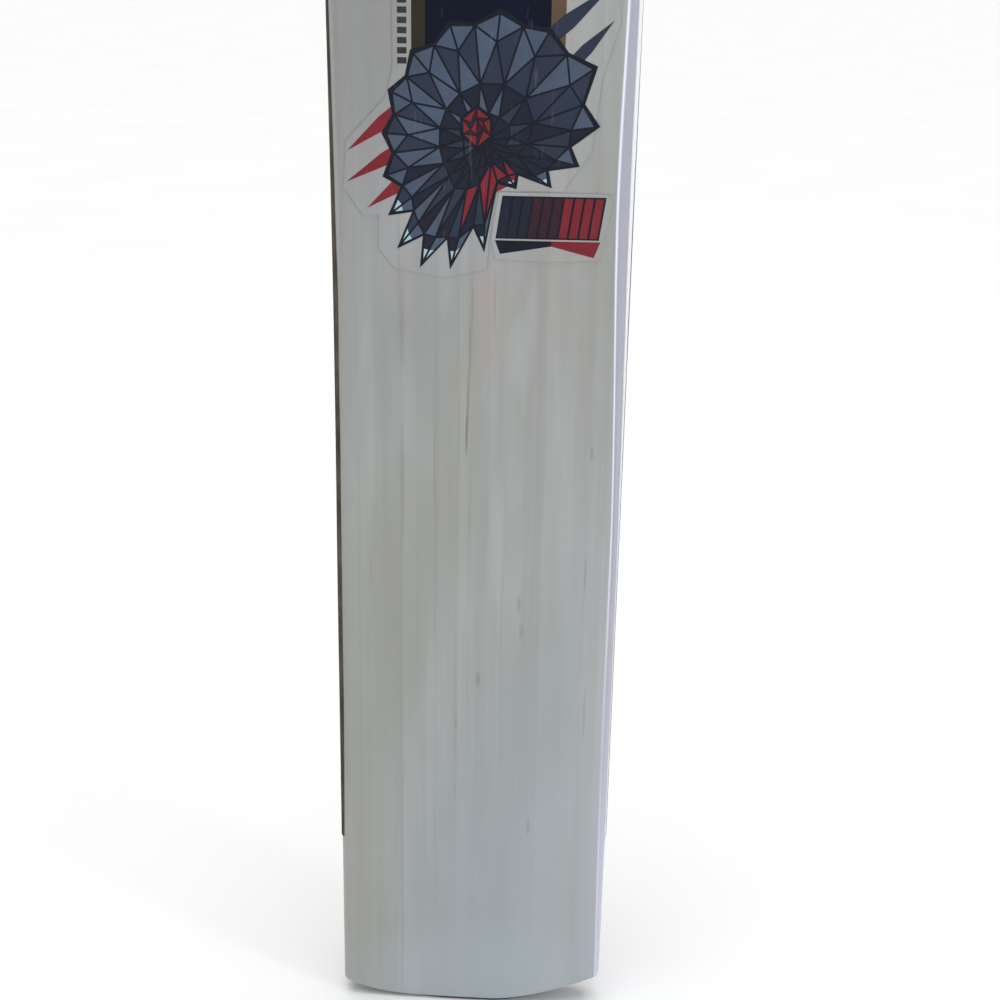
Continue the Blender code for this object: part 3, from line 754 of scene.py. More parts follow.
# The right corner: strengths by how far its surface turns right, and by share of the blade's
# height, of the painted cool light on the edge, the paler painted light over it and the painted
# highlight along the corner
PAINTED_EDGE_LIGHT_TURNS = ((0.42, 0.0), (0.68, 0.85))
GLINT_TURNS = ((0.24, 0.0), (0.38, 1.0), (0.45, 1.0), (0.6, 0.0))
PAINTED_EDGE_LIGHT = (0.345, 0.335, 0.415)
PAINTED_PALE_EDGE_LIGHT = (0.62, 0.65, 0.76)
GLINT_TONE = (0.8, 0.81, 0.93)
BACK_FADE = -3.0
GLINT_STRENGTHS = ((0.0, 0.6), (0.1, 0.5), (0.2, 0.22), (0.28, 0.4), (0.4, 0.92))
PAINTED_PALE_EDGE_STRENGTHS = ((0.0, 0.75), (0.1, 0.55), (0.24, 0.15), (0.34, 0.0))


def line_place(x):
    """Where x falls on the ramps that are laid across the blade."""
    return 0.5 + 0.5 * x / LINE_SPAN


def growth_shade(look, position):
    """Darkness of the growth lines across the blade, in two ramps, as one can't hold them all."""
    shades = []
    for group in (GROWTH_LINES[:RAMP_LINES], GROWTH_LINES[RAMP_LINES:]):
        stops = []
        for x, strength in group:
            for shift, value in ((-LINE_FADE, 0.0), (0.0, strength), (LINE_EDGE, 0.0)):
                stops.append((line_place(x + shift), value))
        shades.append(look.ramp(position, stops))
    return look.calc("ADD", *shades)


def band_tones(look, position):
    """A slightly different tone for the wood between each two growth lines, from a stepped ramp."""
    stops = []
    for index, (x, _) in enumerate(GROWTH_LINES):
        share = 0.5 + 0.5 * math.sin(BAND_TURN * index)
        stops.append((line_place(x), blend(*BAND_TONES, share)))
    return look.ramp(position, stops, "CONSTANT")


def add_marks_and_painted_light(look, colour):
    """Blends every mark of the face, and the painted light and shade, into the wood as a soft spot.
    """
    for spots, tone, depth in MARKS_AND_PAINTED_LIGHT:
        for *sizes, strength in spots:
            x, z, half_width, half_length = (size * MILLIMETRE for size in sizes)
            mask = look.spot((x, face_y(z), z), (half_width, depth, half_length))
            colour = look.mix(look.calc("MULTIPLY", mask, strength), colour, tone)
    return colour


def paint_right_corner_light(look, colour):
    """Paints cool light on the right-hand edge, paler near the toe, and a painted highlight along its
    corner.
    """
    right, back, _ = look.split(look.coordinates["Normal"])
    height = look.calc("MULTIPLY", look.z, 1 / BLADE_TOP)
    forward = look.calc("MULTIPLY_ADD", back, BACK_FADE, 1.0, clamp=True)
    # Painted cool light on the right-hand edge, fading towards the back
    edge = look.calc("MULTIPLY", look.ramp(right, PAINTED_EDGE_LIGHT_TURNS), forward)
    painted_pale_edge_light = look.calc("MULTIPLY", edge, look.ramp(height, PAINTED_PALE_EDGE_STRENGTHS))
    # Painted highlight along the corner
    glint = look.calc("MULTIPLY", look.ramp(right, GLINT_TURNS), look.ramp(height, GLINT_STRENGTHS))
    glint = look.calc("MULTIPLY", glint, forward)
    for strength, tone in ((edge, PAINTED_EDGE_LIGHT), (painted_pale_edge_light, PAINTED_PALE_EDGE_LIGHT), (glint, GLINT_TONE)):
        colour = look.mix(strength, colour, tone)
    return colour


def willow_material(name="willow", shade=1.0, roughness=0.44, coat=0.1):
    """Pale sanded willow: growth lines, fine fibres, soft clouds, a stain and brown flecks, with
    painted light and shade over them.
    """
    look = Look(name, roughness, Coat_Weight=coat, Coat_Roughness=0.35)
    drift = look.noise((5.0, 9.0, 6.0), detail=1.0)
    across = look.calc("ADD", look.x, look.calc("MULTIPLY_ADD", drift, 0.003, -0.0015))
    position = look.calc("MULTIPLY_ADD", across, 0.5 / LINE_SPAN, 0.5)
    patchy = look.spread(look.noise((70.0, 70.0, 16.0)), 0.0, 1.25)
    lines = look.calc("MULTIPLY", growth_shade(look, position), patchy)
    fibre = look.noise((1000.0, 1000.0, 26.0), detail=3.0, roughness=0.6)
    streak = look.noise((210.0, 210.0, 6.0), detail=3.0, roughness=0.6, distortion=0.4)

    side = look.calc("MULTIPLY_ADD", look.x, 0.5 / BLADE_HALF_WIDTH, 0.5, clamp=True)
    low = look.calc("MULTIPLY_ADD", look.z, -1 / TOE_PAINTED_LIGHT_HEIGHT, 1.0, clamp=True)
    # Painted shade on the left, and painted light on the right and towards the toe, over the wood's
    # tone
    colour = look.mix(side, LEFT_TONE_WITH_PAINTED_SHADE, RIGHT_TONE_WITH_PAINTED_LIGHT)
    colour = look.mix(look.calc("MULTIPLY", low, TOE_PAINTED_LIGHT_SHARE), colour, TOE_TONE_WITH_PAINTED_LIGHT)
    for stretch, detail, distortion, least, most, tone in CLOUDS:
        cloud = look.noise(stretch, detail, distortion=distortion)
        colour = look.mix(look.spread(cloud, least, most), colour, tone)
    colour = look.mix(look.spread(streak, -0.15, 0.28), colour, STREAK_TONE)
    colour = look.mix(look.spread(fibre, 0.0, 0.1), colour, FIBRE_TONE)
    colour = look.mix(1.0, colour, band_tones(look, position), "MULTIPLY")
    colour = look.mix(look.calc("MULTIPLY", lines, LINE_SHADE), colour, LINE_TONE)
    colour = paint_right_corner_light(look, add_marks_and_painted_light(look, colour))
    if shade != 1.0:
        colour = look.mix(1.0, colour, (shade, shade, shade), "MULTIPLY")
    gloss = look.spread(streak, roughness - 0.05, roughness + 0.06)
    relief = look.calc("SUBTRACT", fibre, look.calc("MULTIPLY", lines, 0.6))
    return look.finish(colour, gloss, relief, 0.00006)


# ---- other materials

# Inks as (colour, shade of their mottling, roughness, gloss), where those differ from the usual
INKS = {
    "black": ((0.006, 0.0085, 0.017),),
    "navy": ((0.012, 0.016, 0.033),),
    "panel": ((0.0095, 0.0118, 0.025), 0.78, 0.34, 0.03),
    "slate": ((0.026, 0.036, 0.064),),
    "steel": ((0.07, 0.098, 0.148),),
    "pale": ((0.39, 0.55, 0.61), 0.86),
    "red": ((0.205, 0.019, 0.029),),
    "wine": ((0.038, 0.013, 0.023),),
    "gold": ((0.12, 0.078, 0.046),),
    "bronze": ((0.04, 0.031, 0.024), 0.78, 0.34, 0.05),
    "charcoal": ((0.035, 0.037, 0.041),),
    "umber": ((0.125, 0.104, 0.084), 0.48, 0.6, 0.0),
    "white": ((0.82, 0.83, 0.86), 0.95),
}
DUST = (0.3, 0.29, 0.27)
SCUFF = (0.42, 0.43, 0.44)


def cane_material():
    """Honey-coloured cane: long fibres with dark pores between them."""
    look = Look("cane")
    fibre = look.noise((1500.0, 1500.0, 14.0))
    pores = look.noise((2600.0, 2600.0, 60.0), detail=1.0)
    tone = look.noise((120.0, 120.0, 6.0))
    colour = look.mix(look.spread(tone), (0.6, 0.43, 0.225), (0.7, 0.54, 0.31))
    colour = look.mix(look.spread(fibre, 0.0, 0.7), colour, (0.47, 0.3, 0.13))
    colour = look.mix(look.ramp(pores, [(0.6, 0.0), (0.68, 0.6)]), colour, (0.2, 0.11, 0.05))
    return look.finish(colour, relief=fibre, depth=0.00008, strength=0.6)


def rubber_material(name, dark, light, roughness):
    """Matt rubber with a fine moulded grain, cloudy bloom and pale dust in patches."""
    look = Look(name, roughness)
    grain = look.noise((1400.0, 1400.0, 1400.0))
    bloom = look.noise((45.0, 45.0, 30.0), detail=3.0)
    speck = look.noise((700.0, 700.0, 500.0), detail=3.0, roughness=0.7)
    dusty = look.calc("MULTIPLY", look.ramp(speck, [(0.55, 0.0), (0.75, 1.0)]), 0.15)
    colour = look.mix(dusty, look.mix(look.spread(bloom), dark, light), DUST)
    gloss = look.spread(bloom, roughness - 0.08, roughness + 0.08)
    return look.finish(colour, gloss, grain, 0.0001, 0.6)


def twine_material():
    """Waxed linen thread: each turn twisted from fine strands."""
    look = Look("waxed_twine", 0.55)
    strands = look.noise((1800.0, 1800.0, 1100.0))
    wax = look.noise((160.0, 160.0, 300.0))
    colour = look.mix(look.spread(wax), (0.61, 0.54, 0.4), (0.72, 0.66, 0.52))
    colour = look.mix(look.spread(strands, 0.0, 0.6), colour, (0.4, 0.33, 0.21))
    return look.finish(colour, relief=strands, depth=0.00012, strength=0.7)


def ink_material(name, colour, shade=0.78, roughness=0.34, gloss=0.16):
    """Printed ink under a clear film: faint mottling, fine print screen and tiny scuffs."""
    look = Look(f"ink_{name}", roughness, Specular_IOR_Level=gloss, Coat_Weight=0.0)
    mottle = look.noise((120.0, 120.0, 90.0), detail=3.0)
    screen = look.noise((1700.0, 1700.0, 1700.0), detail=1.0)
    scuff = look.noise((420.0, 420.0, 60.0), detail=3.0, roughness=0.7)
    darker = tuple(channel * shade for channel in colour)
    mixed = look.mix(look.spread(mottle), colour, darker)
    mixed = look.mix(look.spread(screen, 0.0, 0.25), mixed, darker)
    mixed = look.mix(look.ramp(scuff, [(0.62, 0.0), (0.78, 0.1)]), mixed, SCUFF)
    worn_gloss = look.spread(scuff, roughness - 0.05, roughness + 0.09)
    return look.finish(mixed, worn_gloss, mottle, 0.00005)


# ---- printed films


def add_patch(name, outlines, material, bottom, top, surface=face_point, stands_for=()):
    """Thin closed islands with these (x, z) outlines, between two lifts off the wood."""
    bm = bmesh.new()
    for outline in outlines:
        bm.faces.new([bm.verts.new((x, 0.0, z)) for x, z in outline])
    points = [point for outline in outlines for point in outline]
    for axis, step in ((0, PATCH_COLUMN), (1, PATCH_ROW)):
        low = math.ceil(min(point[axis] for point in points) / step)
        high = math.floor(max(point[axis] for point in points) / step)
        direction = (1, 0, 0) if axis == 0 else (0, 0, 1)
        for count in range(low, high + 1):
            place_at = tuple(count * step * part for part in direction)
            geometry = bm.verts[:] + bm.edges[:] + bm.faces[:]
            bmesh.ops.bisect_plane(
                bm, geom=geometry, dist=WELD, plane_co=place_at, plane_no=direction
            )
    bmesh.ops.dissolve_degenerate(bm, dist=WELD, edges=bm.edges[:])
    grown = bmesh.ops.extrude_face_region(bm, geom=bm.faces[:])
    outer = {item for item in grown["geom"] if isinstance(item, bmesh.types.BMVert)}
    for vert in bm.verts:
        lift = top if vert in outer else bottom
        vert.co = surface(vert.co.x, vert.co.z, lift)
    new_piece(name, bm, material, "printed_film", stands_for)


def ink_lift(level):
    """How far the top of this ink layer stands off the wood. Layer 0 is the clear film."""
    return FILM_GAP + FILM + INK * level


def print_inks(prints, inks, surface=face_point, gap=0.0):
    """Prints each (name, ink, layer, outlines) from the layer below up to its own layer's top."""
    for name, ink, level, outlines in prints:
        low, high = ink_lift(level - 1) + gap, ink_lift(level) + gap
        add_patch(name, outlines, inks[ink], low, high, surface)


def polar(centre, degrees, radius):
    angle = math.radians(degrees)
    return (centre[0] + radius * math.cos(angle), centre[1] + radius * math.sin(angle))


def middle_of(points):
    return tuple(sum(point[axis] for point in points) / len(points) for axis in (0, 1))


def inset_triangle(corners, gap):
    """A triangle moved in by gap on every side, or None where that leaves nothing."""
    sides = [math.dist(corners[(i + 1) % 3], corners[(i + 2) % 3]) for i in range(3)]
    around = sum(sides)
    (ax, az), (bx, bz), (cx, cz) = corners
    area = abs((bx - ax) * (cz - az) - (cx - ax) * (bz - az)) / 2
    inner = 2 * area / around
    if inner <= gap:
        return None
    centre = tuple(sum(s * c[axis] for s, c in zip(sides, corners)) / around for axis in (0, 1))
    scale = 1 - gap / inner
    return [tuple(blend(centre[a], corner[a], scale) for a in (0, 1)) for corner in corners]


# The burst emblem: its middle, and its points as (direction, reach, notch after it)
BURST_CENTRE = (0.002, 0.352)
BURST_POINTS = (
    (84.0, 0.0425, 0.95), (60.0, 0.042, 0.95), (34.0, 0.044, 0.93), (8.0, 0.038, 0.9),
    (-14.0, 0.032, 0.88), (-34.0, 0.0264, 0.86), (-56.0, 0.018, 0.8), (-90.0, 0.037, 0.8),
    (-105.0, 0.045, 0.8), (-117.0, 0.0485, 0.82), (-129.0, 0.0475, 0.84),
    (-142.0, 0.0415, 0.9), (-160.0, 0.0365, 0.93), (177.0, 0.0345, 0.94),
    (154.0, 0.036, 0.95), (131.0, 0.038, 0.95), (108.0, 0.04, 0.96),
)
BURST_RINGS = (0.78, 0.5, 0.22)
BURST_SIZE = 0.04
BURST_RIM = 0.0009
TIP_RIM = 1.8 * BURST_RIM
BURST_LINE = 0.00036
LIGHT_DIRECTION = math.radians(125)
# Shades of a facet: the least, what the light adds, what the way out adds, and a ripple
BASE_SHADE = 0.1
LIT_SHADE = 0.24
OUTER_SHADE = 0.3
RIPPLE_SHADE = 0.11
RIPPLE_TURN = 2.4
# Tones of the facets from dark to light, with the shades at which the later ones start
FACE_TONES = (("navy", "slate", "steel"), (0.3, 0.5))
RED_TONES = (("wine", "red"), (0.12,))
BACK_TONES = (("slate", "steel", "pale"), (0.42, 0.58))
PALE_DIRECTIONS = (-145.0, -20.0)
PALE_SHARE = 0.55
CORE_LINE = 0.0002
CORE_RIM = 0.0011
CROWN_SHARE = 0.45
CORE_CENTRE = (-0.001, 0.357)
CORE_POINTS = ((90.0, 0.0062), (30.0, 0.0052), (-35.0, 0.0058), (-90.0, 0.0072),
               (-150.0, 0.0056), (155.0, 0.0054))


def burst_notch(index):
    """Direction and reach of the notch between this point of the burst and the next."""
    degrees, reach, notch = BURST_POINTS[index]
    next_degrees, next_reach, _ = BURST_POINTS[(index + 1) % len(BURST_POINTS)]
    turn = (degrees - next_degrees) % 360
    return degrees - turn / 2, min(reach, next_reach) * notch


def burst_facets(centre, scale=1.0):
    """Facets of a cut-stone burst: a list of (triangle, shade, direction if it is a tip)."""
    points = [(degrees, reach) for degrees, reach, _ in BURST_POINTS]
    between = [burst_notch(index) for index in range(len(points))]

    def ring(places, share=1.0):
        return [polar(centre, degrees, reach * share * scale) for degrees, reach in places]

    tips, notches = ring(points), ring(between)
    outer, middle, inner = map(ring, (points, between, points), BURST_RINGS)
    facets = []
    for i, (direction, _) in enumerate(points):
        j = (i + 1) % len(points)
        facets += [
            ((notches[i - 1], tips[i], outer[i]), 0.12, direction),
            ((tips[i], notches[i], outer[i]), -0.12, direction),
            ((outer[i], notches[i], middle[i]), 0.02, None),
            ((notches[i], outer[j], middle[i]), -0.06, None),
            ((outer[i], middle[i], middle[i - 1]), 0.0, None),
            ((middle[i - 1], middle[i], inner[i]), -0.1, None),
            ((middle[i], inner[j], inner[i]), 0.06, None),
            ((inner[i], inner[j], centre), -0.08, None),
        ]
    shaded = []
    for number, (corners, bias, tip) in enumerate(facets):
        mid = middle_of(corners)
        away = math.atan2(mid[1] - centre[1], mid[0] - centre[0])
        lit = 0.5 + 0.5 * math.cos(away - LIGHT_DIRECTION)
        out = math.dist(mid, centre) / (BURST_SIZE * scale)
        shade = BASE_SHADE + LIT_SHADE * lit + OUTER_SHADE * out + bias
        shaded.append((corners, shade + RIPPLE_SHADE * math.sin(RIPPLE_TURN * number), tip))
    return shaded


def pick_tone(shade, tones, starts):
    return tones[sum(shade >= start for start in starts)]


def burst_outline():
    """The burst's outline with a dark rim round it, wider at the points."""
    outline = []
    for index, (degrees, reach, _) in enumerate(BURST_POINTS):
        outline.append(polar(BURST_CENTRE, degrees, reach + TIP_RIM))
        notch_degrees, notch_reach = burst_notch(index)
        outline.append(polar(BURST_CENTRE, notch_degrees, notch_reach + BURST_RIM))
    return outline


def core_prints(name, centre, scale, line, level):
    """Prints of a small cut stone at this centre, with lit and dark triangles in turn."""
    corners = [polar(centre, degrees, reach * scale) for degrees, reach in CORE_POINTS]
    crown = [polar(centre, degrees, reach * scale * CROWN_SHARE) for degrees, reach in CORE_POINTS]
    lit, dark = [], []
    for i in range(len(CORE_POINTS)):
        j = (i + 1) % len(CORE_POINTS)
        lit.append((corners[i], corners[j], crown[i]))
        dark.append((crown[i], corners[j], crown[j]))
    for i in range(1, len(crown) - 1):
        (lit if i % 2 else dark).append((crown[0], crown[i], crown[i + 1]))
    return [
        (f"{name}_lit", "red", level, [inset_triangle(facet, line) for facet in lit]),
        (f"{name}_dark", "wine", level, [inset_triangle(facet, line) for facet in dark]),
    ]


def slash(tip, base, width):
    """A long tapered stripe from a sharp tip to a square base of this width."""
    run = (base[0] - tip[0], base[1] - tip[1])
    length = math.hypot(*run)
    side = (-run[1] / length * width / 2, run[0] / length * width / 2)
    belly = (tip[0] + run[0] * SLASH_BELLY, tip[1] + run[1] * SLASH_BELLY)
    return [
        tip, (belly[0] - side[0], belly[1] - side[1]), (base[0] - side[0], base[1] - side[1]),
        (base[0] + side[0], base[1] + side[1]), (belly[0] + side[0], belly[1] + side[1]),
    ]


def on_band(point):
    """Whether the red band under the burst passes through this point."""
    tip, base, width = RED_BAND
    run = (base[0] - tip[0], base[1] - tip[1])
    across = (point[0] - tip[0]) * run[1] - (point[1] - tip[1]) * run[0]
    low, high = RED_BAND_X
    return low < point[0] < high and abs(across) / math.hypot(*run) < width / 2


def rectangle(low_x, high_x, low_z, high_z):
    return [(low_x, low_z), (high_x, low_z), (high_x, high_z), (low_x, high_z)]


def chevron(centre_x, z, half_width, drop, thick):
    """A V stripe, pointing down, whose point is at (centre_x, z - drop)."""
    return [
        (centre_x - half_width, z), (centre_x, z - drop), (centre_x + half_width, z),
        (centre_x + half_width, z + thick), (centre_x, z - drop + thick),
        (centre_x - half_width, z + thick),
    ]


# Slashes as (tip, base, width), and how far along each one is at its full width
SLASH_BELLY = 0.6
RED_BAND = ((-0.015, 0.3262), (0.012, 0.3412), 0.0058)
RED_BAND_X = (-0.009, 0.0125)
RED_SLASHES = (
    RED_BAND,
    ((-0.0462, 0.3475), (-0.025, 0.364), 0.005),
    ((-0.0466, 0.3368), (-0.024, 0.3505), 0.0046),
    ((-0.0394, 0.3279), (-0.023, 0.34), 0.0044),
)
SLATE_SLASHES = (
    ((0.044, 0.404), (0.02, 0.384), 0.0052),
    ((0.0448, 0.3925), (0.03, 0.377), 0.004),
)
PANEL_X = (-0.0189, 0.0236)
PANEL_OUTER_X = (-0.0236, 0.0286)
PANEL_Z = (0.377, 0.517)
PANEL_TOP_BORDER = 0.0042
CHEVRON_SIZES = (0.016, 0.011, 0.0032)
CHEVRON_HEIGHTS = (0.433, 0.445, 0.457)
STONE = ((0.0, 0.474), (0.0085, 0.487), (0.0, 0.503), (-0.0085, 0.487))
STONE_LINE = 0.0006
TALLY_X = (-0.0284, -0.0252)
TALLY_Z = (0.3772, 0.456)
TALLY_STEP = 0.0033
TALLY_BAR = 0.0021

HALO = (
    (-0.03, 0.519), (-0.03, 0.376), (-0.0325, 0.366), (-0.0465, 0.351),
    (-0.0475, 0.335), (-0.041, 0.3255), (-0.035, 0.3255), (-0.0355, 0.314),
    (-0.03, 0.307), (-0.012, 0.304), (0.003, 0.3075), (0.0036, 0.3185),
    (0.006, 0.3352), (0.029, 0.3352), (0.0385, 0.349), (0.0415, 0.374),
    (0.047, 0.3925), (0.045, 0.406), (0.0305, 0.406), (0.0305, 0.519),
)
LOWER_FILM = (
    (0.0058, 0.3112), (0.02, 0.3105), (0.0425, 0.3112), (0.0466, 0.3318), (0.0452, 0.3346),
    (0.007, 0.3346), (0.0043, 0.3185),
)
# Its slats and their backing as (inside its left end, inside its right end, lowest and highest
# point, count, lean, gap), and its underline's outer points as (inside its end, height)
SLATS = (0.002, 0.0042, 0.319, 0.3328, 10, 0.002, 0.0008)
SLATS_BACKING = (0.0014, 0.0044, 0.3184, 0.3334, 1, 0.0022, 0.0)
UNDERLINE_LEFT = ((0.0012, 0.3178), (0.003, 0.313))
UNDERLINE_RIGHT = ((0.006, 0.3122), (0.0038, 0.3178))
UNDERLINE_Z = (0.316, 0.3178)


def slats(film_x, in_left, in_right, low_z, high_z, count, lean, gap):
    """Leaning slats side by side, from this far inside a film's left end to its right end."""
    low_x = film_x[0] + in_left
    pitch = (film_x[1] - in_right - low_x) / count
    made = []
    for i in range(count):
        left = low_x + i * pitch
        right = left + pitch - gap
        made.append([(left, low_z), (right, low_z), (right + lean, high_z), (left + lean, high_z)])
    return made


def face_burst_prints():
    """The burst over the panel, red where the band crosses it, with pale tips low down."""
    groups = {"navy": [], "slate": [], "steel": [], "red": [], "wine": []}
    pale = []
    low, high = PALE_DIRECTIONS
    for corners, shade, tip in burst_facets(BURST_CENTRE):
        inner = inset_triangle(corners, BURST_LINE)
        if inner is None:
            continue
        tones = RED_TONES if on_band(middle_of(corners)) else FACE_TONES
        groups[pick_tone(shade, *tones)].append(inner)
        if tip is not None and low < tip < high:
            far = max(corners, key=lambda point: math.dist(point, BURST_CENTRE))
            end = [tuple(blend(far[a], corner[a], PALE_SHARE) for a in (0, 1)) for corner in corners]
            pale.append(inset_triangle(end, BURST_LINE))
    prints = [(f"burst_{tone}", tone, 4, group) for tone, group in groups.items()]
    return prints + [("burst_tips", "pale", 5, [end for end in pale if end])]


def make_face_film(film, inks):
    """The clear film on the face, its bordered panel and the burst emblem over it."""
    add_patch("face_film", [HALO], film, FILM_BED, ink_lift(0), stands_for=["face_sticker"])
    (left, right), (far_left, far_right) = PANEL_X, PANEL_OUTER_X
    low, high = PANEL_Z
    field_top = high - PANEL_TOP_BORDER
    turned_border = [
        (right, low), (far_right, low), (far_right, high), (left, high), (left, field_top),
        (right, field_top),
    ]
    middle = sum(PANEL_X) / 2
    *steel_marks, red_mark = [chevron(middle, z, *CHEVRON_SIZES) for z in CHEVRON_HEIGHTS]
    stone = [(middle + x, z) for x, z in STONE]
    ticks = []
    z = TALLY_Z[0]
    while z + TALLY_BAR < TALLY_Z[1]:
        ticks.append(rectangle(*TALLY_X, z, z + TALLY_BAR))
        z += TALLY_STEP
    setting = [polar(CORE_CENTRE, degrees, reach + CORE_RIM) for degrees, reach in CORE_POINTS]
    prints = [
        ("panel_field", "panel", 1, [rectangle(left, right, low, field_top)]),
        ("panel_left_border", "bronze", 1, [rectangle(far_left, left, low, high)]),
        ("panel_right_border", "gold", 1, [turned_border]),
        ("panel_chevrons", "steel", 2, steel_marks),
        ("panel_chevron_red", "red", 2, [red_mark]),
        ("panel_stone", "slate", 2, [stone]),
        ("panel_stone_facet", "steel", 3, [inset_triangle(stone[:3], STONE_LINE)]),
        ("side_tally", "charcoal", 1, ticks),
        ("red_slashes", "red", 1, [slash(*stripe) for stripe in RED_SLASHES]),
        ("slate_slashes", "slate", 2, [slash(*stripe) for stripe in SLATE_SLASHES]),
        ("burst_base", "black", 3, [burst_outline()]),
        *face_burst_prints(),
        ("core_setting", "black", 5, [setting]),
        *core_prints("core", CORE_CENTRE, 1.0, CORE_LINE, 6),
    ]
    print_inks(prints, inks)


def make_lower_film(film, inks):
    """The small film low on the right: leaning slats that turn from black to red."""
    low_x, high_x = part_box("lower_sticker")[0].x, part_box("lower_sticker")[1].x
    add_patch("lower_film", [LOWER_FILM], film, FILM_BED, ink_lift(0), stands_for=["lower_sticker"])
    blades = slats((low_x, high_x), *SLATS)
    inner_low, inner_high = [((low_x + high_x) / 2, z) for z in UNDERLINE_Z]
    left = [(low_x + x, z) for x, z in UNDERLINE_LEFT]
    right = [(high_x - x, z) for x, z in UNDERLINE_RIGHT]
    prints = [
        ("slats_backing", "black", 1, slats((low_x, high_x), *SLATS_BACKING)),
        ("slats_dark", "navy", 2, blades[:3]),
        ("slats_mid", "wine", 2, blades[3:6]),
        ("slats_red", "red", 2, blades[6:]),
        ("underline_dark", "black", 1, [[*left, inner_low, inner_high]]),
        ("underline_red", "red", 1, [[inner_low, *right, inner_high]]),
    ]
    print_inks(prints, inks)


def cut_rectangle(half_width, low_z, high_z, cut):
    """A rectangular outline about x = 0 with its corners cut off."""
    return [
        (cut - half_width, low_z), (half_width - cut, low_z), (half_width, low_z + cut),
        (half_width, high_z - cut), (half_width - cut, high_z), (cut - half_width, high_z),
        (-half_width, high_z - cut), (-half_width, low_z + cut),
    ]


def make_back_film(inks):
    """The film on the ridge: a gold border round a dark field with a small burst."""
    half, (low, high), cut = BACK_STICKER_HALF_WIDTH, BACK_STICKER_Z, BACK_STICKER_CUT
    gap = CURVED_FILM_GAP - FILM_GAP - BACK_INKS * INK
    border = cut_rectangle(half, low, high, cut)
    add_patch("back_film", [border], inks["gold"], FILM_BED, ink_lift(0) + gap,
              back_point, stands_for=["back_sticker"])
    field = cut_rectangle(half - BACK_BORDER, low + BACK_BORDER, high - BACK_BORDER, BACK_FIELD_CUT)
    groups = {"slate": [], "steel": [], "pale": []}
    for corners, shade, _ in burst_facets(BACK_BURST_CENTRE, BACK_BURST_SCALE):
        inner = inset_triangle(corners, BURST_LINE * BACK_LINE_SHARE)
        groups[pick_tone(shade, *BACK_TONES)].append(inner)
    prints = [
        ("back_field", "panel", 1, [field]),
        ("back_chevrons", "slate", 2, [chevron(0.0, z, *BACK_CHEVRON) for z in BACK_CHEVRONS]),
    ]
    for tone, group in groups.items():
        prints.append((f"back_burst_{tone}", tone, 3, [facet for facet in group if facet]))
    prints += core_prints("back_core", BACK_BURST_CENTRE, BACK_CORE_SCALE, CORE_LINE / 2, BACK_INKS)
    print_inks(prints, inks, back_point, gap)


def edge_strip(name, side, fronts, back, material, bottom, top, stands_for=(), ends=0.0):
    """A film strip along one edge, from a front to a back share of the edge's depth.

    The front can also be a tuple of (height, depth) stations.
    """
    rings = []
    low, high = EDGE_STICKER_Z
    for height in steps_between(low + ends, high - ends, EDGE_STRIP_STEP):
        edge = smooth_value(EDGE_DEPTHS, height)
        front = smooth_value(fronts, height) if isinstance(fronts, tuple) else edge * fronts
        inner, outer = [], []
        for j in range(EDGE_STRIP_COLUMNS + 1):
            depth = blend(front, edge * back, (j / EDGE_STRIP_COLUMNS) ** EDGE_STRIP_POWER)
            x = edge_surface_x(depth, height)
            inner.append(blade_point(side * (x + bottom), depth, height))
            outer.append(blade_point(side * (x + top), depth, height))
        rings.append(inner + outer[::-1])
    bm = bmesh.new()
    rows = bridge_rings(bm, rings)
    ladder_cap(bm, rows[0][::-1])
    ladder_cap(bm, rows[-1][::-1])
    return new_piece(name, bm, material, "edge_film", stands_for)


def make_edge_films(inks):
    """The strips along the two edges, with their printed stripes."""
    top = CURVED_FILM_GAP + FILM - EDGE_PRINT - EDGE_MARGIN
    film = (FILM_BED, top)
    print_on = (top, top + EDGE_PRINT)
    edge_strip("left_edge_film", -1, LEFT_STICKER_FRONTS, LEFT_STICKER_BACK, inks["umber"], *film,
               ["edge_sticker_left"])
    edge_strip("left_edge_stripe", -1, LEFT_STRIPE[0], LEFT_STRIPE[1], inks["gold"], *print_on,
               ends=LEFT_STRIPE_ENDS)
    edge_strip("right_edge_film", 1, RIGHT_STICKER_FRONTS, RIGHT_STICKER_BACK, inks["white"], *film,
               ["edge_sticker_right"])
    edge_strip("right_edge_stripe", 1, RIGHT_STRIPE_FRONTS, RIGHT_STRIPE_BACK, inks["black"],
               *print_on, ends=RIGHT_STRIPE_ENDS)


# ---- stage

VIEW_AZIMUTH = 3.0
VIEW_ELEVATION = 20.0
VIEW_ROLL = 0.9195
VIEW_DISTANCE = 0.5967
VIEW_TARGET = (0.0091, -0.008, 0.2218)
LENS = 58.1
SENSOR = 36.0
CLIP = (0.01, 200.0)
FLOOR_RADIUS = 30.0

# Area lights as (name, position, size, power, colour)
AREA_LIGHTS = (
    ("window", (1.75, -1.0, 0.6), (0.22, 1.8), 12.0, (0.84, 0.9, 1.0)),
    ("left_fill", (-1.5, -1.3, 1.0), (1.4, 1.4), 3.0, (1.0, 0.96, 0.9)),
)
LIGHT_TARGET = (0.0, 0.0, 0.35)
SUN_POWER = 2.05
SUN_ANGLE = math.radians(60)
SKY_STOPS = ((0.2, 1.0), (0.36, 0.42))


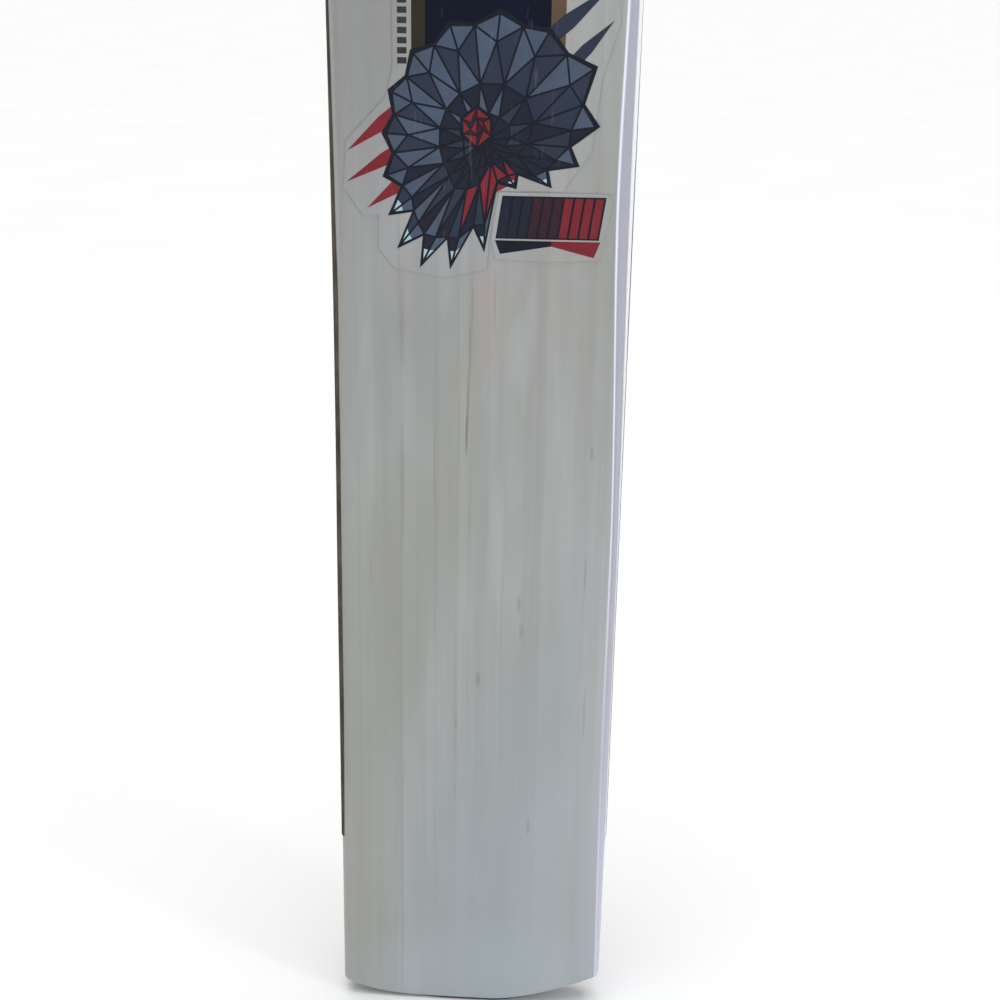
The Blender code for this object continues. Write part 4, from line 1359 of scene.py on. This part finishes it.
def make_camera():
    """A camera above the face and a little to its right, tilted as a hand-held one is."""
    data = bpy.data.cameras.new("camera")
    data.lens = LENS
    data.sensor_width = SENSOR
    data.clip_start, data.clip_end = CLIP
    camera = bpy.data.objects.new("camera", data)
    bpy.context.scene.collection.objects.link(camera)
    placed = Matrix.Translation(VIEW_TARGET)
    for degrees, axis in ((VIEW_AZIMUTH, "Z"), (90 - VIEW_ELEVATION, "X"), (VIEW_ROLL, "Z")):
        placed = placed @ Matrix.Rotation(math.radians(degrees), 4, axis)
    camera.matrix_world = placed @ Matrix.Translation((0, 0, VIEW_DISTANCE))
    bpy.context.scene.camera = camera


def make_lights():
    """A tall window on the right, a warm fill on the left and a soft sun overhead."""
    for name, position, size, power, colour in AREA_LIGHTS:
        data = bpy.data.lights.new(name, "AREA")
        data.shape = "RECTANGLE"
        data.size, data.size_y = size
        data.energy = power
        data.color = colour
        light = bpy.data.objects.new(name, data)
        light.location = position
        light.rotation_mode = "QUATERNION"
        aim = Vector(LIGHT_TARGET) - Vector(position)
        light.rotation_quaternion = aim.to_track_quat("-Z", "Y")
        bpy.context.scene.collection.objects.link(light)
    overhead = bpy.data.lights.new("overhead", "SUN")
    overhead.energy = SUN_POWER
    overhead.angle = SUN_ANGLE
    bpy.context.scene.collection.objects.link(bpy.data.objects.new("overhead", overhead))


def make_air():
    """Pale air that is brightest low down, and plain colours."""
    world = bpy.data.worlds.new("sky")
    world.use_nodes = True
    sky = Nodes(world.node_tree)
    _, _, height = sky.split(sky.coordinates["Generated"])
    glow = sky.ramp(height, SKY_STOPS)
    sky.tree.links.new(glow, sky.tree.nodes["Background"].inputs["Color"])
    bpy.context.scene.world = world
    bpy.context.scene.view_settings.view_transform = "Standard"


def make_floor():
    """A plain pale floor that reaches past the picture's edges."""
    bm = bmesh.new()
    bmesh.ops.create_circle(bm, cap_ends=True, segments=96, radius=FLOOR_RADIUS)
    look = Look("pale_floor", 0.75)
    mottle = look.spread(look.noise((6.0, 6.0, 6.0), detail=3.0))
    colour = look.mix(mottle, (0.88, 0.88, 0.88), (0.9, 0.9, 0.9))
    floor = new_piece("floor", bm, look.finish(colour))


# ---- assembly


def dress_cad_nodes(nodes):
    """Gives the cane strips and the rubber springs, which keep their CAD meshes, their finish."""
    finishes = {
        "cane_": cane_material(),
        "rubber_spring_": rubber_material(
            "spring_rubber", (0.018, 0.017, 0.016), (0.04, 0.038, 0.035), 0.75
        ),
    }
    for start, material in finishes.items():
        for name, node in nodes.items():
            if name.startswith(start):
                node.data.materials.clear()
                node.data.materials.append(material)


def main():
    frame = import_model()
    make_blade(willow_material())
    make_toe_guard(rubber_material("guard_rubber", (0.03, 0.03, 0.032), (0.06, 0.06, 0.062), 0.6))
    dress_cad_nodes(frame["nodes"])
    make_twine(twine_material())
    grip_rubber = rubber_material("grip_rubber", (0.01, 0.013, 0.022), (0.022, 0.027, 0.04), 0.62)
    make_grip(grip_rubber)
    inks = {name: ink_material(name, *values) for name, values in INKS.items()}
    film = willow_material("clear_film_on_willow", shade=0.98, roughness=0.34, coat=0.3)
    make_face_film(film, inks)
    make_lower_film(film, inks)
    make_back_film(inks)
    make_edge_films(inks)
    make_floor()
    make_lights()
    make_air()
    make_camera()


main()
